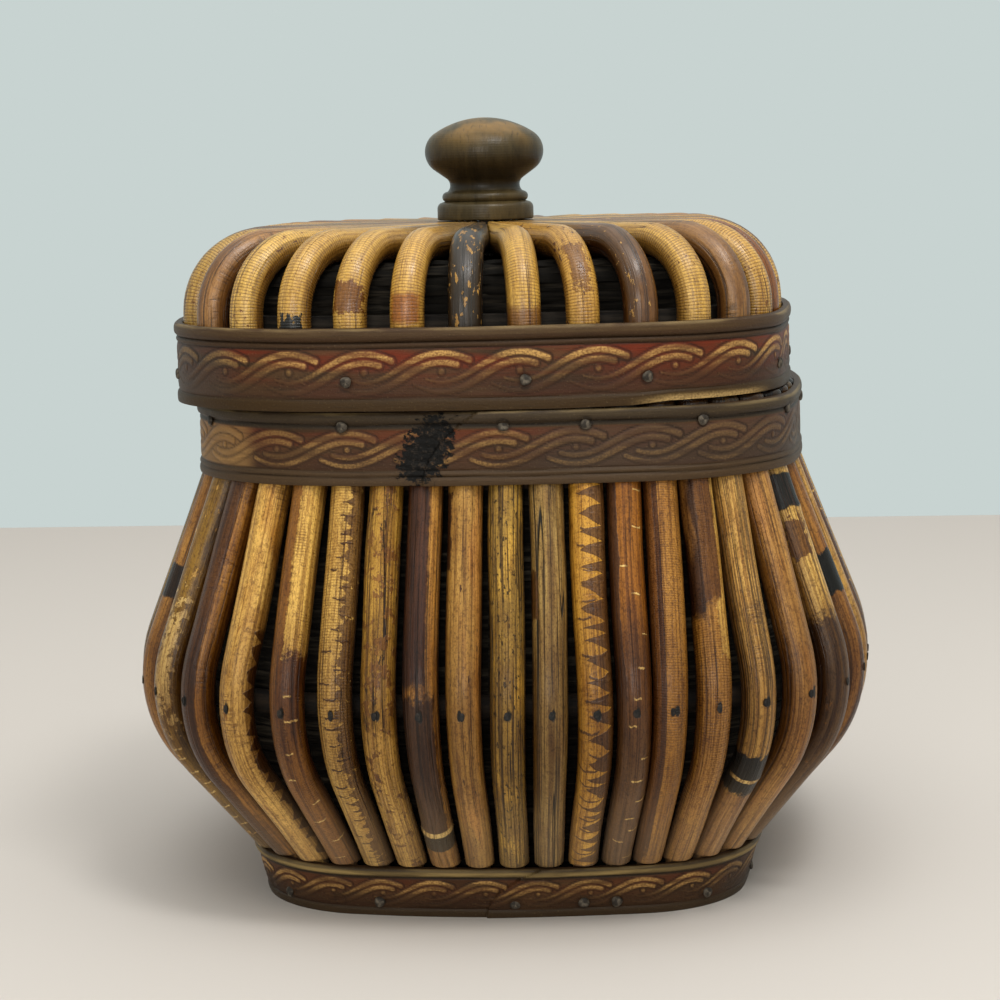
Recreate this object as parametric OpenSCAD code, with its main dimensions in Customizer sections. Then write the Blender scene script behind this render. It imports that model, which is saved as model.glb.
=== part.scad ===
// Rattan canister: a square, big-bellied basket of bent canes with a loose lid and a turned knob.
// Millimetres, +Z up, origin at the middle of the foot. The front face looks along -Y.

/* [Plan] */
// Width across the neck band, face to face
neck_w = 160; // [140:1:190]
// Radius of the gentle bow of each side, at the neck band
side_bow_r = 240; // [200:5:320]
// Radius of the corners, at the neck band
corner_r = 45; // [40:1:52]

/* [Foot] */
// Width across the lower edge of the base band
base_w = 132; // [128:1:150]
// How far the base band leans out on each side from its lower to its upper edge
base_lean = 3.5; // [1:0.5:6]
// Height of the base band
base_band_h = 13.5; // [11:0.5:18]
// Thickness of the base board
base_board_t = 9; // [6:0.5:10]
// Height of the nails in the base band
base_nail_z = 3.8; // [3:0.1:5]

/* [Belly and neck] */
// Width across the canes at the belly
belly_w = 195; // [186:1:205]
// Height of the belly above the foot
belly_z = 59; // [50:1:66]
// Height of the neck band's lower edge
neck_z = 112.5; // [106:0.5:125]
// Height of the neck band
neck_band_h = 18; // [14:0.5:24]
// Depth of the neck band's nails below its upper edge
neck_nail_down = 3.6; // [3:0.1:6]
// How far the wooden ring behind the canes reaches below the neck band
neck_ring_drop = 2.5; // [0:0.5:5]
// Thickness of the wooden ring behind the canes at the neck
neck_ring_t = 4.5; // [3:0.5:6]
// How far the rim strip stands above the neck band
rim_rise = 9; // [4:0.5:9]
// Thickness of the rim strip
rim_t = 2.5; // [1.5:0.5:4]

/* [Body canes] */
// Thickness of a body cane
cane_d = 8.2; // [7:0.1:8.6]
// Thickness of a body cane where it meets the base band
cane_foot_d = 7.5; // [6.5:0.1:7.7]
// Thickness of a body cane's pared end behind the base band
cane_end_d = 5; // [4:0.5:5.5]
// Body canes from the middle of one face to the middle of the next
canes_per_side = 13; // [9:2:13]
// Share of their pitch by which the canes at the front right corner crowd to the front, at neck and foot
crowd = 0.3; // [0:0.05:0.3]
// Share of their pitch by which the same canes crowd to the front at the belly
belly_crowd = 0.8; // [0:0.1:0.9]
// Height above the neck band's lower edge at which a body cane starts to slant out
neck_bend_up = 2.5; // [0:0.5:5]
// Depth of a body cane's middle line inside the strip's face, at the base band's upper edge
foot_in = 4.4; // [4:0.1:5]
// Height of the lowest edge of a body cane above the foot
foot_z = 0.5; // [0.2:0.1:1]
// Bend of a body cane under the neck band
neck_bend_r = 25; // [15:1:35]
// Bend of a body cane at the belly
belly_bend_r = 31; // [20:1:36]
// Thickness of the round hoop inside the belly
hoop_d = 6; // [4:0.5:8]

/* [Lid] */
// How far the lid band stands out past the neck band on each side
lid_overhang = 1.25; // [0:0.25:4]
// Height of the lid band
lid_band_h = 19; // [16:0.5:24]
// Height of the lid band's nails above its lower edge
lid_nail_up = 6; // [4:0.5:9]
// Dark line left open between the neck band and the lid band
lid_line = 1.5; // [0.8:0.1:3]
// Height of the canes above the lid band
lid_rise = 23.5; // [22:0.5:32]
// How far the loose lid sits to the right of the body's middle
lid_shift = -4; // [-6:0.5:6]
// Thickness of a lid cane
lid_cane_d = 8.4; // [7:0.1:9]
// Lid canes from the middle of one face to the middle of the next
lid_canes_per_side = 9; // [7:2:11]
// Bend of a lid cane over the shoulder
lid_bend_r = 17; // [13:0.5:17]
// Thickness of the ring behind the lid canes
lid_ring_t = 4; // [3:0.5:6]
// Distance from the lid's middle to the canes' inner ends
lid_cane_end = 10; // [8:0.5:11]

/* [Strips and linings] */
// Thickness of the embossed strips
band_t = 1.6; // [1:0.1:2]
// How far the rolled rim of a strip stands proud
rim_bead = 0.7; // [0.3:0.1:1]
// Height of the rolled rim of a strip
rim_bead_h = 3; // [2:0.5:4]
// Thickness of the woven linings
liner_t = 2.4; // [1.6:0.2:4]

/* [Nails] */
// Thickness of a nail
nail_d = 1.4; // [1:0.1:1.8]
// Width of a nail's head
nail_head_d = 2.8; // [2.2:0.1:3.4]
// Height of a nail's head
nail_head_h = 0.6; // [0.4:0.1:1]
// Depth of a nail's point in the wood behind the canes
nail_bite = 2.5; // [1.5:0.5:3]
// Depth of a lid nail's point past the middle of its cane
lid_nail_bite = 2; // [1:0.5:2.5]
// Thickness of a belly brad
brad_d = 1.6; // [1.2:0.1:2]
// Depth of a brad's head below the cane's skin
brad_sink = 0.5; // [0:0.1:1]

/* [Knob] */
// Widest part of the knob
knob_d = 32; // [28:0.5:36]
// Height of the knob
knob_h = 27.3; // [25:0.1:34]
// Width of the knob's foot
knob_foot_d = 26; // [24:0.5:28]
// Height of the knob's foot
knob_foot_h = 4.4; // [3:0.1:5]
// Rounding of the knob's foot
knob_foot_edge_r = 1.2; // [0.6:0.1:1.4]
// Width of the bead above the knob's foot
knob_bead_d = 23.2; // [22:0.2:24]
// Height of the bead above the knob's foot
knob_bead_h = 2.75; // [2.4:0.05:3]
// Height of the waist above the knob's foot
knob_waist_up = 4.4; // [4.2:0.1:5]
// Radius of the hollow at the waist
knob_waist_r = 5; // [4:0.5:6]
// Radius of the knob's rounded side
knob_side_r = 6; // [5:0.5:7]
// Radius of the knob's shallow top
knob_cap_r = 24; // [22:1:30]
// Width of the knob's waist
knob_waist_d = 19; // [16:0.5:20]
// Thickness of the knob's screw
screw_d = 4; // [3:0.5:5]
// Depth of the screw in the knob
screw_depth = 16; // [10:1:18]
// Width of the screw's head
screw_head_d = 8; // [7:0.5:9]
// Height of the screw's head
screw_head_h = 2.6; // [2:0.2:3]
// Width of the boss under the lid's middle
boss_d = 40; // [30:1:50]
// Thickness of the boss
boss_t = 6; // [4:0.5:8]

/* [Clearances] */
// Gap between pieces that lie against each other
fit = 0.3; // [0.2:0.05:0.4]
// Gap round a nail, a brad or a screw in its hole
nail_fit = 0.1; // [0.05:0.05:0.2]
// Room left round the rim strip for the loose lid to shift
lid_play = 2; // [1:0.5:2]

/* [Hidden] */
$fn = 48;
SIDES = ["front", "right", "back", "left"];
CORNERS = ["front_right", "back_right", "back_left", "front_left"];

// A straight length laps this far over the next bend
lap = 0.3;
// A bend is this much thinner all round than the straight length that laps it
lap_step = 0.03;
// A pared end is rooted this deep in its cane
end_root = 1.2;
// Canes crowd most at this share of the way from the front to the right face, and not at all this share off
crowd_middle = 0.55;
crowd_reach = 0.37;
// A hole starts this far outside the piece that it is made in
hole_lead = 2;
// The lid lining's rounded shoulder is drawn in this many steps, up to this angle
liner_steps = 3;
liner_end = 80;
// Angles at which the arcs of the knob's outline start or end
knob_edge_end = 75;
knob_bead_start = -80;
knob_cove_start = 200;
knob_cove_end = 125;
knob_side_start = -42;
knob_cap_gap = 6;

// Plan: every level is the same bowed square moved in or out, by an offset from the neck band's face
neck_half = neck_w / 2;
bow_half = acos((side_bow_r - neck_half) / ((side_bow_r - corner_r) * sqrt(2))) - 45;
corner_turn = 90 - 2 * bow_half;
corner_c = (side_bow_r - corner_r) * sin(bow_half);
bow_c = side_bow_r - neck_half;
rad = PI / 180;

// Body canes
cane_r = cane_d / 2;
cane_count = 4 * canes_per_side;
corner_canes = 3;
face_canes = canes_per_side - corner_canes;
neck_top_z = neck_z + neck_band_h;
lid_z = neck_top_z + lid_line;
cane_top_z = lid_z - fit;
neck_off = -band_t - fit - cane_r;
neck_bend_z = neck_z + neck_bend_up;
belly_off = belly_w / 2 - neck_half - cane_r;
base_off = base_w / 2 - neck_half;
base_slope = base_lean / base_band_h;
base_stretch = sqrt(1 + base_slope * base_slope);
foot_off = base_off + base_lean - foot_in;
foot_cut_z = base_band_h + fit;
end_room = (cane_end_d / 2 + fit) * base_stretch + band_t;
end_z = foot_z + cane_end_d / 2 * base_slope / base_stretch;
vertex = belly_vertex([belly_off + 4, belly_z - 6], 6);
foot_lean = (vertex.x - foot_off) / (vertex.y - base_band_h);

// Hoop, basket and board
hoop_off = belly_off - cane_r - fit - hoop_d / 2;
board_off = end_off(foot_z) - cane_end_d / 2 * base_stretch - fit;
neck_ring_off = neck_off - cane_r - fit;
neck_ring_z = neck_z - neck_ring_drop;
basket_z = base_board_t + fit;
basket_foot_room = (cane_foot_d / 2 + fit) * sqrt(1 + foot_lean * foot_lean);
basket_foot_off = foot_off - (base_band_h - basket_z) * foot_lean - basket_foot_room;
basket_belly_off = hoop_off - hoop_d / 2 - fit;
basket_levels = [
    [basket_foot_off, basket_z],
    [basket_belly_off, belly_z - hoop_d],
    [basket_belly_off, belly_z + hoop_d],
    [neck_ring_off - fit, neck_ring_z - fit]
];

// Lid
lid_cane_r = lid_cane_d / 2;
lid_cane_count = 4 * lid_canes_per_side;
lid_corner_canes = 4;
lid_face_canes = lid_canes_per_side - lid_corner_canes;
lid_off = lid_overhang;
lid_cane_off = lid_off - band_t - fit - lid_cane_r;
lid_top_z = lid_z + lid_band_h + lid_rise;
lid_plane_z = lid_top_z - lid_cane_r;
lid_bend_z = lid_plane_z - lid_bend_r;
rim_off = min(neck_ring_off - neck_ring_t - fit, lid_cane_off - lid_cane_r - abs(lid_shift) - lid_play);
rim_top_z = neck_top_z + rim_rise;
lid_ring_off = lid_cane_off - lid_cane_r - fit;
lid_ring_z = rim_top_z + lid_play;
liner_off = lid_ring_off - lid_ring_t - fit;
liner_bend_r = lid_bend_r - lid_cane_r - 2 * fit;
liner_bend_off = lid_cane_off - lid_bend_r;
liner_reach = min(liner_off - liner_bend_off, liner_bend_r);
liner_turn = acos(liner_reach / liner_bend_r);
liner_top_z = lid_bend_z + liner_bend_r;
liner_levels = concat(
    [[liner_off, lid_ring_z]],
    [for (k = [0 : liner_steps]) let (a = liner_turn + (liner_end - liner_turn) * k / liner_steps)
        [liner_bend_off + liner_bend_r * cos(a), lid_bend_z + liner_bend_r * sin(a)]]
);
boss_z = liner_top_z - liner_t - fit - boss_t;
knob_z = lid_top_z + fit;

// Nails go through canes: counted from the middle of the front face to the right, unevenly at the front
neck_nail_canes = concat([-4, 0, 2], [for (k = [5 : 3 : cane_count - 8]) k]);
base_nail_canes = concat([0, 2, 3], [for (k = [6 : 3 : cane_count - 4]) k]);
lid_nail_canes = concat([-2, 1], [for (k = [3 : 3 : lid_cane_count - 6]) k]);
neck_nail_z = neck_top_z - neck_nail_down;
lid_nail_z = lid_z + lid_nail_up;

// Offset of the canes' pared ends behind the leaning base band
function end_off(z) = base_off + base_slope * z - end_room;
function unit(v) = v / norm(v);
function flip(list) = [for (k = [len(list) - 1 : -1 : 0]) list[k]];
function clip(x, low, high) = min(max(x, low), high);

// Direction that a face looks in, by its heading from the front round to the right
function look(heading) = [sin(heading), -cos(heading)];

// Heading of the plan curve a walk of length s from the middle of the front face
function plan_quarter(off) = 2 * bow_half * rad * (side_bow_r + off) + corner_turn * rad * (corner_r + off);
function plan_heading(s, off) =
    let (quarter = plan_quarter(off))
    let (turn = floor(s / quarter))
    let (t = s - turn * quarter)
    let (side = bow_half * rad * (side_bow_r + off))
    let (corner = corner_turn * rad * (corner_r + off))
    90 * turn + (
        t < side ? t / (side_bow_r + off) / rad
        : t < side + corner ? bow_half + (t - side) / (corner_r + off) / rad
        : 90 - bow_half + (t - side - corner) / (side_bow_r + off) / rad
    );

// Point of the plan curve that looks in the given heading
function plan_point(heading, off) =
    let (turn = floor((heading + bow_half) / 90))
    let (local = heading - 90 * turn)
    let (middle = local < bow_half ? [0, bow_c] : [corner_c, -corner_c])
    let (r = local < bow_half ? side_bow_r : corner_r)
    let (p = middle + (r + off) * look(local))
    [p.x * cos(90 * turn) - p.y * sin(90 * turn), p.x * sin(90 * turn) + p.y * cos(90 * turn)];

function plan_outline(off) = [for (h = [0 : 5 : 355]) plan_point(h, off)];
function crowding(k) =
    let (away = abs((k + 0.5) / canes_per_side - crowd_middle) / crowd_reach)
    away < 1 ? pow(cos(90 * away), 2) : 0;
function cane_heading(k, off, share = crowd) =
    plan_heading((k + 0.5 - share * crowding(k)) * plan_quarter(off) / canes_per_side, off);
function lid_cane_heading(k) =
    plan_heading(k * plan_quarter(lid_cane_off) / lid_canes_per_side, lid_cane_off);

// Where a body cane's two slanted lines would cross, so that the bend between them just reaches the belly
function belly_vertex(guess, rounds) =
    rounds == 0 ? guess
    : let (above = atan((guess.x - neck_off) / (neck_bend_z - guess.y)))
      let (below = atan((guess.x - foot_off) / (guess.y - base_band_h)))
      let (out = belly_bend_r * (sin(above) + sin(below)) / sin(above + below))
      let (rise = belly_bend_r * (cos(below) - cos(above)) / sin(above + below))
      belly_vertex([belly_off + out - belly_bend_r, belly_z + rise], rounds - 1);

function at(p, z) = [p.x, p.y, z];

// A body cane's route runs past the base band's upper edge, where the cane is cut level
function body_cane_route(k) =
    let (h = cane_heading(k, neck_off))
    let (belly = at(plan_point(cane_heading(k, neck_off, belly_crowd), vertex.x), vertex.y))
    let (foot = at(plan_point(cane_heading(k, foot_off), foot_off), base_band_h))
    [
        at(plan_point(h, neck_off), cane_top_z),
        at(plan_point(h, neck_off), neck_bend_z),
        belly,
        foot + unit(foot - belly) * cane_foot_d
    ];

// A pared end runs from inside the cut cane down behind the base band
function pared_end_route(k) =
    let (h = cane_heading(k, foot_off))
    let (root_z = foot_cut_z + end_root)
    [at(plan_point(h, end_off(root_z)), root_z), at(plan_point(h, end_off(end_z)), end_z)];

// Places a shape with its Z along the given direction
module aim(origin, z_dir, x_hint) {
    x = unit(x_hint - z_dir * (x_hint * z_dir));
    y = cross(z_dir, x);
    multmatrix([
        [x.x, y.x, z_dir.x, origin.x],
        [x.y, y.y, z_dir.y, origin.y],
        [x.z, y.z, z_dir.z, origin.z],
        [0, 0, 0, 1]
    ]) children();
}

// A rod along a route of corners, each rounded by its radius, with its thickness given at every corner.
// The seam of each round length lies on the given side, clear of holes and cuts
module bent_rod(route, radii, widths, seam) {
    last = len(route) - 1;
    ways = [for (k = [0 : last - 1]) unit(route[k + 1] - route[k])];
    turns = [for (k = [1 : last - 1]) acos(clip(ways[k - 1] * ways[k], -1, 1))];
    cuts = concat([0], [for (k = [1 : last - 1]) radii[k - 1] * tan(turns[k - 1] / 2) - lap], [0]);
    for (k = [0 : last - 1]) {
        length = norm(route[k + 1] - route[k]) - cuts[k] - cuts[k + 1];
        aim(route[k] + ways[k] * cuts[k], ways[k], seam)
            cylinder(d1 = widths[k], d2 = widths[k + 1], h = length);
    }
    for (k = [1 : last - 1]) {
        r = radii[k - 1];
        inward = unit(ways[k] - ways[k - 1] * (ways[k] * ways[k - 1]));
        start = route[k] - ways[k - 1] * r * tan(turns[k - 1] / 2);
        aim(start + inward * r, cross(ways[k - 1], inward), -inward)
            rotate_extrude(angle = turns[k - 1])
                translate([r, 0])
                    circle(d = widths[k] - 2 * lap_step);
    }
}

// Carries a section round the plan: four bowed sides, and four corners a hair smaller inside their ends
module plan_sweep() {
    over = lap / side_bow_r / rad;
    for (turn = [0 : 90 : 270])
        rotate([0, 0, turn]) {
            translate([0, bow_c, 0])
                rotate([0, 0, -90 - bow_half - over])
                    rotate_extrude(angle = 2 * (bow_half + over))
                        translate([side_bow_r, 0])
                            let ($shrink = 0) children();
            translate([corner_c, -corner_c, 0])
                rotate([0, 0, -90 + bow_half])
                    rotate_extrude(angle = corner_turn)
                        translate([corner_r, 0])
                            let ($shrink = lap_step) children();
        }
}

// Section of a wall whose outer face passes through the levels, from the lowest up.
// A level is an offset and a height
module wall_section(levels, t) {
    low = levels[0].y + $shrink;
    high = levels[len(levels) - 1].y - $shrink;
    outer = [for (p = levels) [p.x - $shrink, clip(p.y, low, high)]];
    inner = [for (p = levels) [p.x - t + $shrink, clip(p.y, low, high)]];
    polygon(concat(outer, flip(inner)));
}

module plan_wall(levels, t) {
    plan_sweep() wall_section(levels, t);
}

// An embossed strip with a rolled rim along its upper edge
module strip(low_off, high_off, z, h) {
    bead_z = z + h - rim_bead_h;
    bead_off = low_off + (high_off - low_off) * (h - rim_bead_h) / h;
    plan_wall([
        [low_off, z],
        [bead_off, bead_z],
        [bead_off + rim_bead, bead_z + rim_bead],
        [high_off + rim_bead, z + h - rim_bead],
        [high_off, z + h]
    ], band_t);
}

module plate(off, z, t) {
    translate([0, 0, z])
        linear_extrude(height = t)
            polygon(plan_outline(off));
}

// Places a nail-like shape on the plan curve, pointing inward
module drive(heading, off, z) {
    p = plan_point(heading, off);
    translate([p.x, p.y, z])
        rotate([0, 0, heading])
            rotate([-90, 0, 0])
                children();
}

module nail(length) {
    translate([0, 0, -nail_head_h])
        cylinder(d = nail_head_d, h = nail_head_h);
    translate([0, 0, -nail_head_h / 2])
        cylinder(d = nail_d, h = length + nail_head_h / 2);
}

module hole(d, length) {
    translate([0, 0, -hole_lead])
        cylinder(d = d + 2 * nail_fit, h = length + hole_lead + fit);
}

// A nail's hole with a level seat for its head
module seated_hole(length) {
    hole(nail_d, length);
    translate([0, 0, -hole_lead])
        cylinder(d = nail_head_d + 2 * nail_fit, h = hole_lead + nail_fit);
}

// Neck nails reach from the strip's face into the neck ring
neck_nail_l = nail_bite - neck_ring_off;
module at_neck_nails() {
    for (k = neck_nail_canes)
        drive(cane_heading(k, neck_off), 0, neck_nail_z) children();
}

// Base nails reach from the strip's face into the base board
base_nail_off = base_off + base_slope * base_nail_z;
base_nail_l = base_nail_off - board_off + nail_bite;
module at_base_nails() {
    for (k = base_nail_canes)
        drive(cane_heading(k, foot_off), base_nail_off, base_nail_z) children();
}

// Belly brads reach from just under the canes' skin to the middle of the hoop
brad_off = belly_off + cane_r - brad_sink;
brad_l = brad_off - hoop_off;
module at_brads() {
    for (k = [0 : cane_count - 1])
        drive(cane_heading(k, neck_off, belly_crowd), brad_off, belly_z) children();
}

// Lid nails reach from the strip's face past the middle of the canes
lid_nail_l = lid_off - lid_cane_off + lid_nail_bite;
module at_lid_nails() {
    for (k = lid_nail_canes)
        drive(lid_cane_heading(k), lid_off, lid_nail_z) children();
}

module base_board() {
    color("sienna")
        difference() {
            plate(board_off, 0, base_board_t);
            at_base_nails() hole(nail_d, base_nail_l);
        }
}

module base_band() {
    color("#5a3a24")
        difference() {
            strip(base_off, base_off + base_lean, 0, base_band_h);
            at_base_nails() seated_hole(base_nail_l);
        }
}

module base_nails() {
    color("#2a2622")
        at_base_nails() nail(base_nail_l);
}

module belly_hoop() {
    color("#6b4a2a")
        difference() {
            plan_sweep() translate([hoop_off, belly_z]) circle(d = hoop_d - 2 * $shrink);
            at_brads() hole(brad_d, brad_l);
        }
}

module belly_brads() {
    color("#2a2622")
        at_brads() cylinder(d = brad_d, h = brad_l);
}

module inner_basket() {
    color("#1d1916") {
        plan_wall(basket_levels, liner_t);
        plate(basket_foot_off - liner_t / 2, basket_z, liner_t);
    }
}

module neck_ring() {
    color("sienna")
        difference() {
            plan_wall([[neck_ring_off, neck_ring_z], [neck_ring_off, cane_top_z]], neck_ring_t);
            at_neck_nails() hole(nail_d, neck_nail_l);
        }
}

module rim_strip() {
    color("#4a3524")
        plan_wall([[rim_off, neck_z], [rim_off, rim_top_z]], rim_t);
}

module neck_band() {
    color("#5a3a24")
        difference() {
            strip(0, 0, neck_z, neck_band_h);
            at_neck_nails() seated_hole(neck_nail_l);
        }
}

module neck_nails() {
    color("#2a2622")
        at_neck_nails() nail(neck_nail_l);
}

// Body canes number first to first + count - 1, drilled for the nails and brads that pass through them
module body_canes(first, count) {
    color("#b5893f")
        difference() {
            for (k = [first : first + count - 1]) {
                seam = at(look(cane_heading(k, neck_off) + 90), 0);
                difference() {
                    bent_rod(
                        body_cane_route(k),
                        [neck_bend_r, belly_bend_r],
                        [cane_d, cane_d, cane_d, cane_foot_d],
                        seam
                    );
                    translate([-neck_w, -neck_w, foot_cut_z - neck_w])
                        cube([2 * neck_w, 2 * neck_w, neck_w]);
                }
                bent_rod(pared_end_route(k), [], [cane_end_d, cane_end_d], seam);
            }
            at_brads() hole(brad_d, brad_l);
            at_neck_nails() hole(nail_d, neck_nail_l);
            at_base_nails() hole(nail_d, base_nail_l);
        }
}

module on_lid() {
    translate([lid_shift, 0, 0]) children();
}

module lid_band() {
    color("#5a3a24")
        on_lid() difference() {
            strip(lid_off, lid_off, lid_z, lid_band_h);
            at_lid_nails() seated_hole(lid_nail_l);
        }
}

module lid_nails() {
    color("#2a2622")
        on_lid() at_lid_nails() nail(lid_nail_l);
}

module lid_ring() {
    color("#4a3524")
        on_lid() plan_wall([[lid_ring_off, lid_ring_z], [lid_ring_off, lid_bend_z]], lid_ring_t);
}

module lid_liner() {
    color("#1d1916")
        on_lid() difference() {
            union() {
                plan_wall(liner_levels, liner_t);
                plate(liner_levels[len(liner_levels) - 1].x - liner_t / 2, liner_top_z - liner_t, liner_t);
            }
            cylinder(d = screw_d + 2 * nail_fit, h = lid_top_z);
        }
}

// Sector of the lid that one cane keeps to, so that canes pared to fit meet at the middle
module lid_sector(k) {
    reach = 2 * (neck_half + lid_off);
    before = azimuth(k - 0.5);
    after = azimuth(k + 0.5);
    translate([0, 0, lid_z - lid_cane_d])
        linear_extrude(height = lid_top_z)
            polygon([
                lid_cane_end * look(before) + fit / 2 * look(before + 90),
                reach * look(before) + fit / 2 * look(before + 90),
                reach * look(after) - fit / 2 * look(after + 90),
                lid_cane_end * look(after) - fit / 2 * look(after + 90)
            ]);
}

function azimuth(k) =
    let (p = plan_point(lid_cane_heading(k), lid_cane_off))
    atan2(p.x, -p.y);

// Lid canes number first to first + count - 1, each running to the lid's middle
module lid_canes(first, count) {
    color("#c29a4a")
        on_lid() difference() {
            for (k = [first : first + count - 1]) {
                p = plan_point(lid_cane_heading(k), lid_cane_off);
                inner = unit(p) * lid_cane_end / 2;
                intersection() {
                    bent_rod(
                        [at(p, lid_z), at(p, lid_plane_z), at(inner, lid_plane_z)],
                        [lid_bend_r],
                        [lid_cane_d, lid_cane_d, lid_cane_d],
                        at(look(azimuth(k) + 90) * lap_step, 1)
                    );
                    lid_sector(k);
                }
            }
            at_lid_nails() hole(nail_d, lid_nail_l);
        }
}

module lid_boss() {
    color("sienna")
        on_lid() difference() {
            translate([0, 0, boss_z])
                cylinder(d = boss_d, h = boss_t);
            cylinder(d = screw_d + 2 * nail_fit, h = lid_top_z);
        }
}

// Points of an arc round a middle, from one angle to another
function arc(middle, r, from, to, steps) =
    [for (k = [0 : steps]) let (a = from + (to - from) * k / steps) middle + r * [cos(a), sin(a)]];

// Half outline of the turned knob, from the foot up to the top
knob_foot_x = knob_foot_d / 2 - knob_foot_edge_r;
bead_r = knob_bead_h / 2;
knob_waist_z = knob_foot_h + knob_waist_up;
knob_cap_z = knob_h - knob_cap_r;
knob_side_x = knob_d / 2 - knob_side_r;
knob_side_z = knob_cap_z + sqrt(pow(knob_cap_r - knob_side_r, 2) - knob_side_x * knob_side_x);
cap_angle = atan2(knob_side_z - knob_cap_z, knob_side_x);
cove_x = knob_waist_d / 2 + knob_waist_r;
knob_outline = concat(
    [[0, 0], [knob_foot_d / 2, 0]],
    arc([knob_foot_x, knob_foot_h - knob_foot_edge_r], knob_foot_edge_r, 0, knob_edge_end, 4),
    arc([knob_bead_d / 2 - bead_r, knob_foot_h + bead_r], bead_r, knob_bead_start, knob_edge_end, 6),
    arc([cove_x, knob_waist_z], knob_waist_r, knob_cove_start, knob_cove_end, 6),
    arc([knob_side_x, knob_side_z], knob_side_r, knob_side_start, cap_angle, 8),
    arc([0, knob_cap_z], knob_cap_r, cap_angle + knob_cap_gap, 90, 6)
);

module knob() {
    color("#4a3a22")
        on_lid() translate([0, 0, knob_z]) difference() {
            rotate_extrude($fn = 72)
                polygon(knob_outline);
            translate([0, 0, -hole_lead])
                cylinder(d = screw_d + 2 * nail_fit, h = screw_depth + hole_lead + fit);
        }
}

module knob_screw() {
    color("silver")
        on_lid() {
            translate([0, 0, boss_z - screw_head_h])
                cylinder(d = screw_head_d, h = screw_head_h);
            translate([0, 0, boss_z - screw_head_h / 2])
                cylinder(d = screw_d, h = knob_z + screw_depth - boss_z + screw_head_h / 2);
        }
}

base_board();
base_band();
base_nails();
belly_hoop();
belly_brads();
inner_basket();
neck_ring();
rim_strip();
neck_band();
neck_nails();
for (turn = [0 : 3]) {
    middle = turn * canes_per_side;
    body_canes(middle - face_canes / 2, face_canes);
    body_canes(middle + face_canes / 2, corner_canes);
}
lid_band();
lid_nails();
lid_ring();
lid_liner();
lid_boss();
knob();
knob_screw();
for (turn = [0 : 3]) {
    middle = turn * lid_canes_per_side;
    half = (lid_face_canes - 1) / 2;
    lid_canes(middle - half, lid_face_canes);
    lid_canes(middle + half + 1, lid_corner_canes);
}
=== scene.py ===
"""Looks of the rattan canister. Lengths are in millimetres here, and become metres where a mesh is made."""

import math
import random

import bpy
import numpy as np
from mathutils import Matrix, Vector


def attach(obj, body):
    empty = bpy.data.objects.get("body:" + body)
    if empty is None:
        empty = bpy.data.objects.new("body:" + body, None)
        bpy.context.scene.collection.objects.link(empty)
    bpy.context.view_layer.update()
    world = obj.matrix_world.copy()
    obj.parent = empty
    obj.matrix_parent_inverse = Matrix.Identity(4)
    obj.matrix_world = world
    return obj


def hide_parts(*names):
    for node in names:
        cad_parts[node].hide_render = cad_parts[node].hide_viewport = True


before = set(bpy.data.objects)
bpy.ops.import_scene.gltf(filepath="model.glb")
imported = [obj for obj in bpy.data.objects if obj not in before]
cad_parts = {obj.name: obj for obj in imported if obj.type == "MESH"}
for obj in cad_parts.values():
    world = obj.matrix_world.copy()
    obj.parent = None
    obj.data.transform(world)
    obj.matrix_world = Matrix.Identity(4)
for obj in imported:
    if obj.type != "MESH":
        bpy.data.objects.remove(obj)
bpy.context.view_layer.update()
MM = 0.001
HALF_PI = math.pi / 2
FULL_TURN = 2 * math.pi

# Plan: a square with bowed sides and round corners, moved in or out by an offset from the neck band's face
NECK_HALF = 80.0
BOW_R = 240.0
CORNER_R = 45.0
BOW_HALF = math.acos((BOW_R - NECK_HALF) / ((BOW_R - CORNER_R) * math.sqrt(2))) - math.pi / 4
CORNER_C = (BOW_R - CORNER_R) * math.sin(BOW_HALF)
BOW_C = BOW_R - NECK_HALF
PLAN_TURNS = (0, BOW_HALF, HALF_PI - BOW_HALF, HALF_PI)

# Strips: heights of the edges, and offsets of the outer faces
BASE_H = 13.5
BASE_OFF = -14.0
BASE_LEAN = 3.5
NECK_Z = 112.5
NECK_H = 18.0
LID_Z = 132.0
LID_H = 19.0
LID_OFF = 1.25
LID_SHIFT = -4.0
STRIP_T = 1.6

# Body canes
CANE_R = 4.3
CANE_FOOT_R = 3.75
CANES_PER_SIDE = 13
CANE_COUNT = 4 * CANES_PER_SIDE
CORNER_CANES = 3
NECK_OFF = -6.0
CANE_TOP_Z = 131.7
NECK_BEND_Z = 115.0
BELLY_OFF = 13.4
BELLY_Z = 59.0
FOOT_OFF = -14.9
FOOT_CUT_Z = 13.8
END_R = 2.5
END_ROOM = 4.493
END_Z = 1.127
BODY_BENDS = (25.0, 31.0)
BRAD_Y = 76.0

# Canes crowd to the front at the front right corner, by a share of their pitch that is larger at the belly
CROWD = 0.3
BELLY_CROWD = 0.8
CROWD_MIDDLE = 0.55
CROWD_REACH = 0.37

# Lid canes
LID_CANE_R = 4.2
LID_CANES_PER_SIDE = 9
LID_CANE_COUNT = 4 * LID_CANES_PER_SIDE
LID_CORNER_CANES = 4
LID_CANE_OFF = -4.85
LID_PLANE_Z = 170.3
LID_BEND_R = 17.0
LID_CANE_END = 10.0
PARE_GAP = 0.15
PARE_LEAST = 0.05

# Linings
LINER_T = 2.4
BASKET_LEVELS = ((-23.58, 9.3), (2.7, 53.0), (2.7, 65.0), (-10.7, 109.7))
LID_LINER_OFF = -13.65
LID_LINER_Z = 141.5
LID_LINER_BEND_Z = 153.3
LID_LINER_BEND_R = 12.2
LID_LINER_BEND_OFF = LID_CANE_OFF - LID_BEND_R

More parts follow.
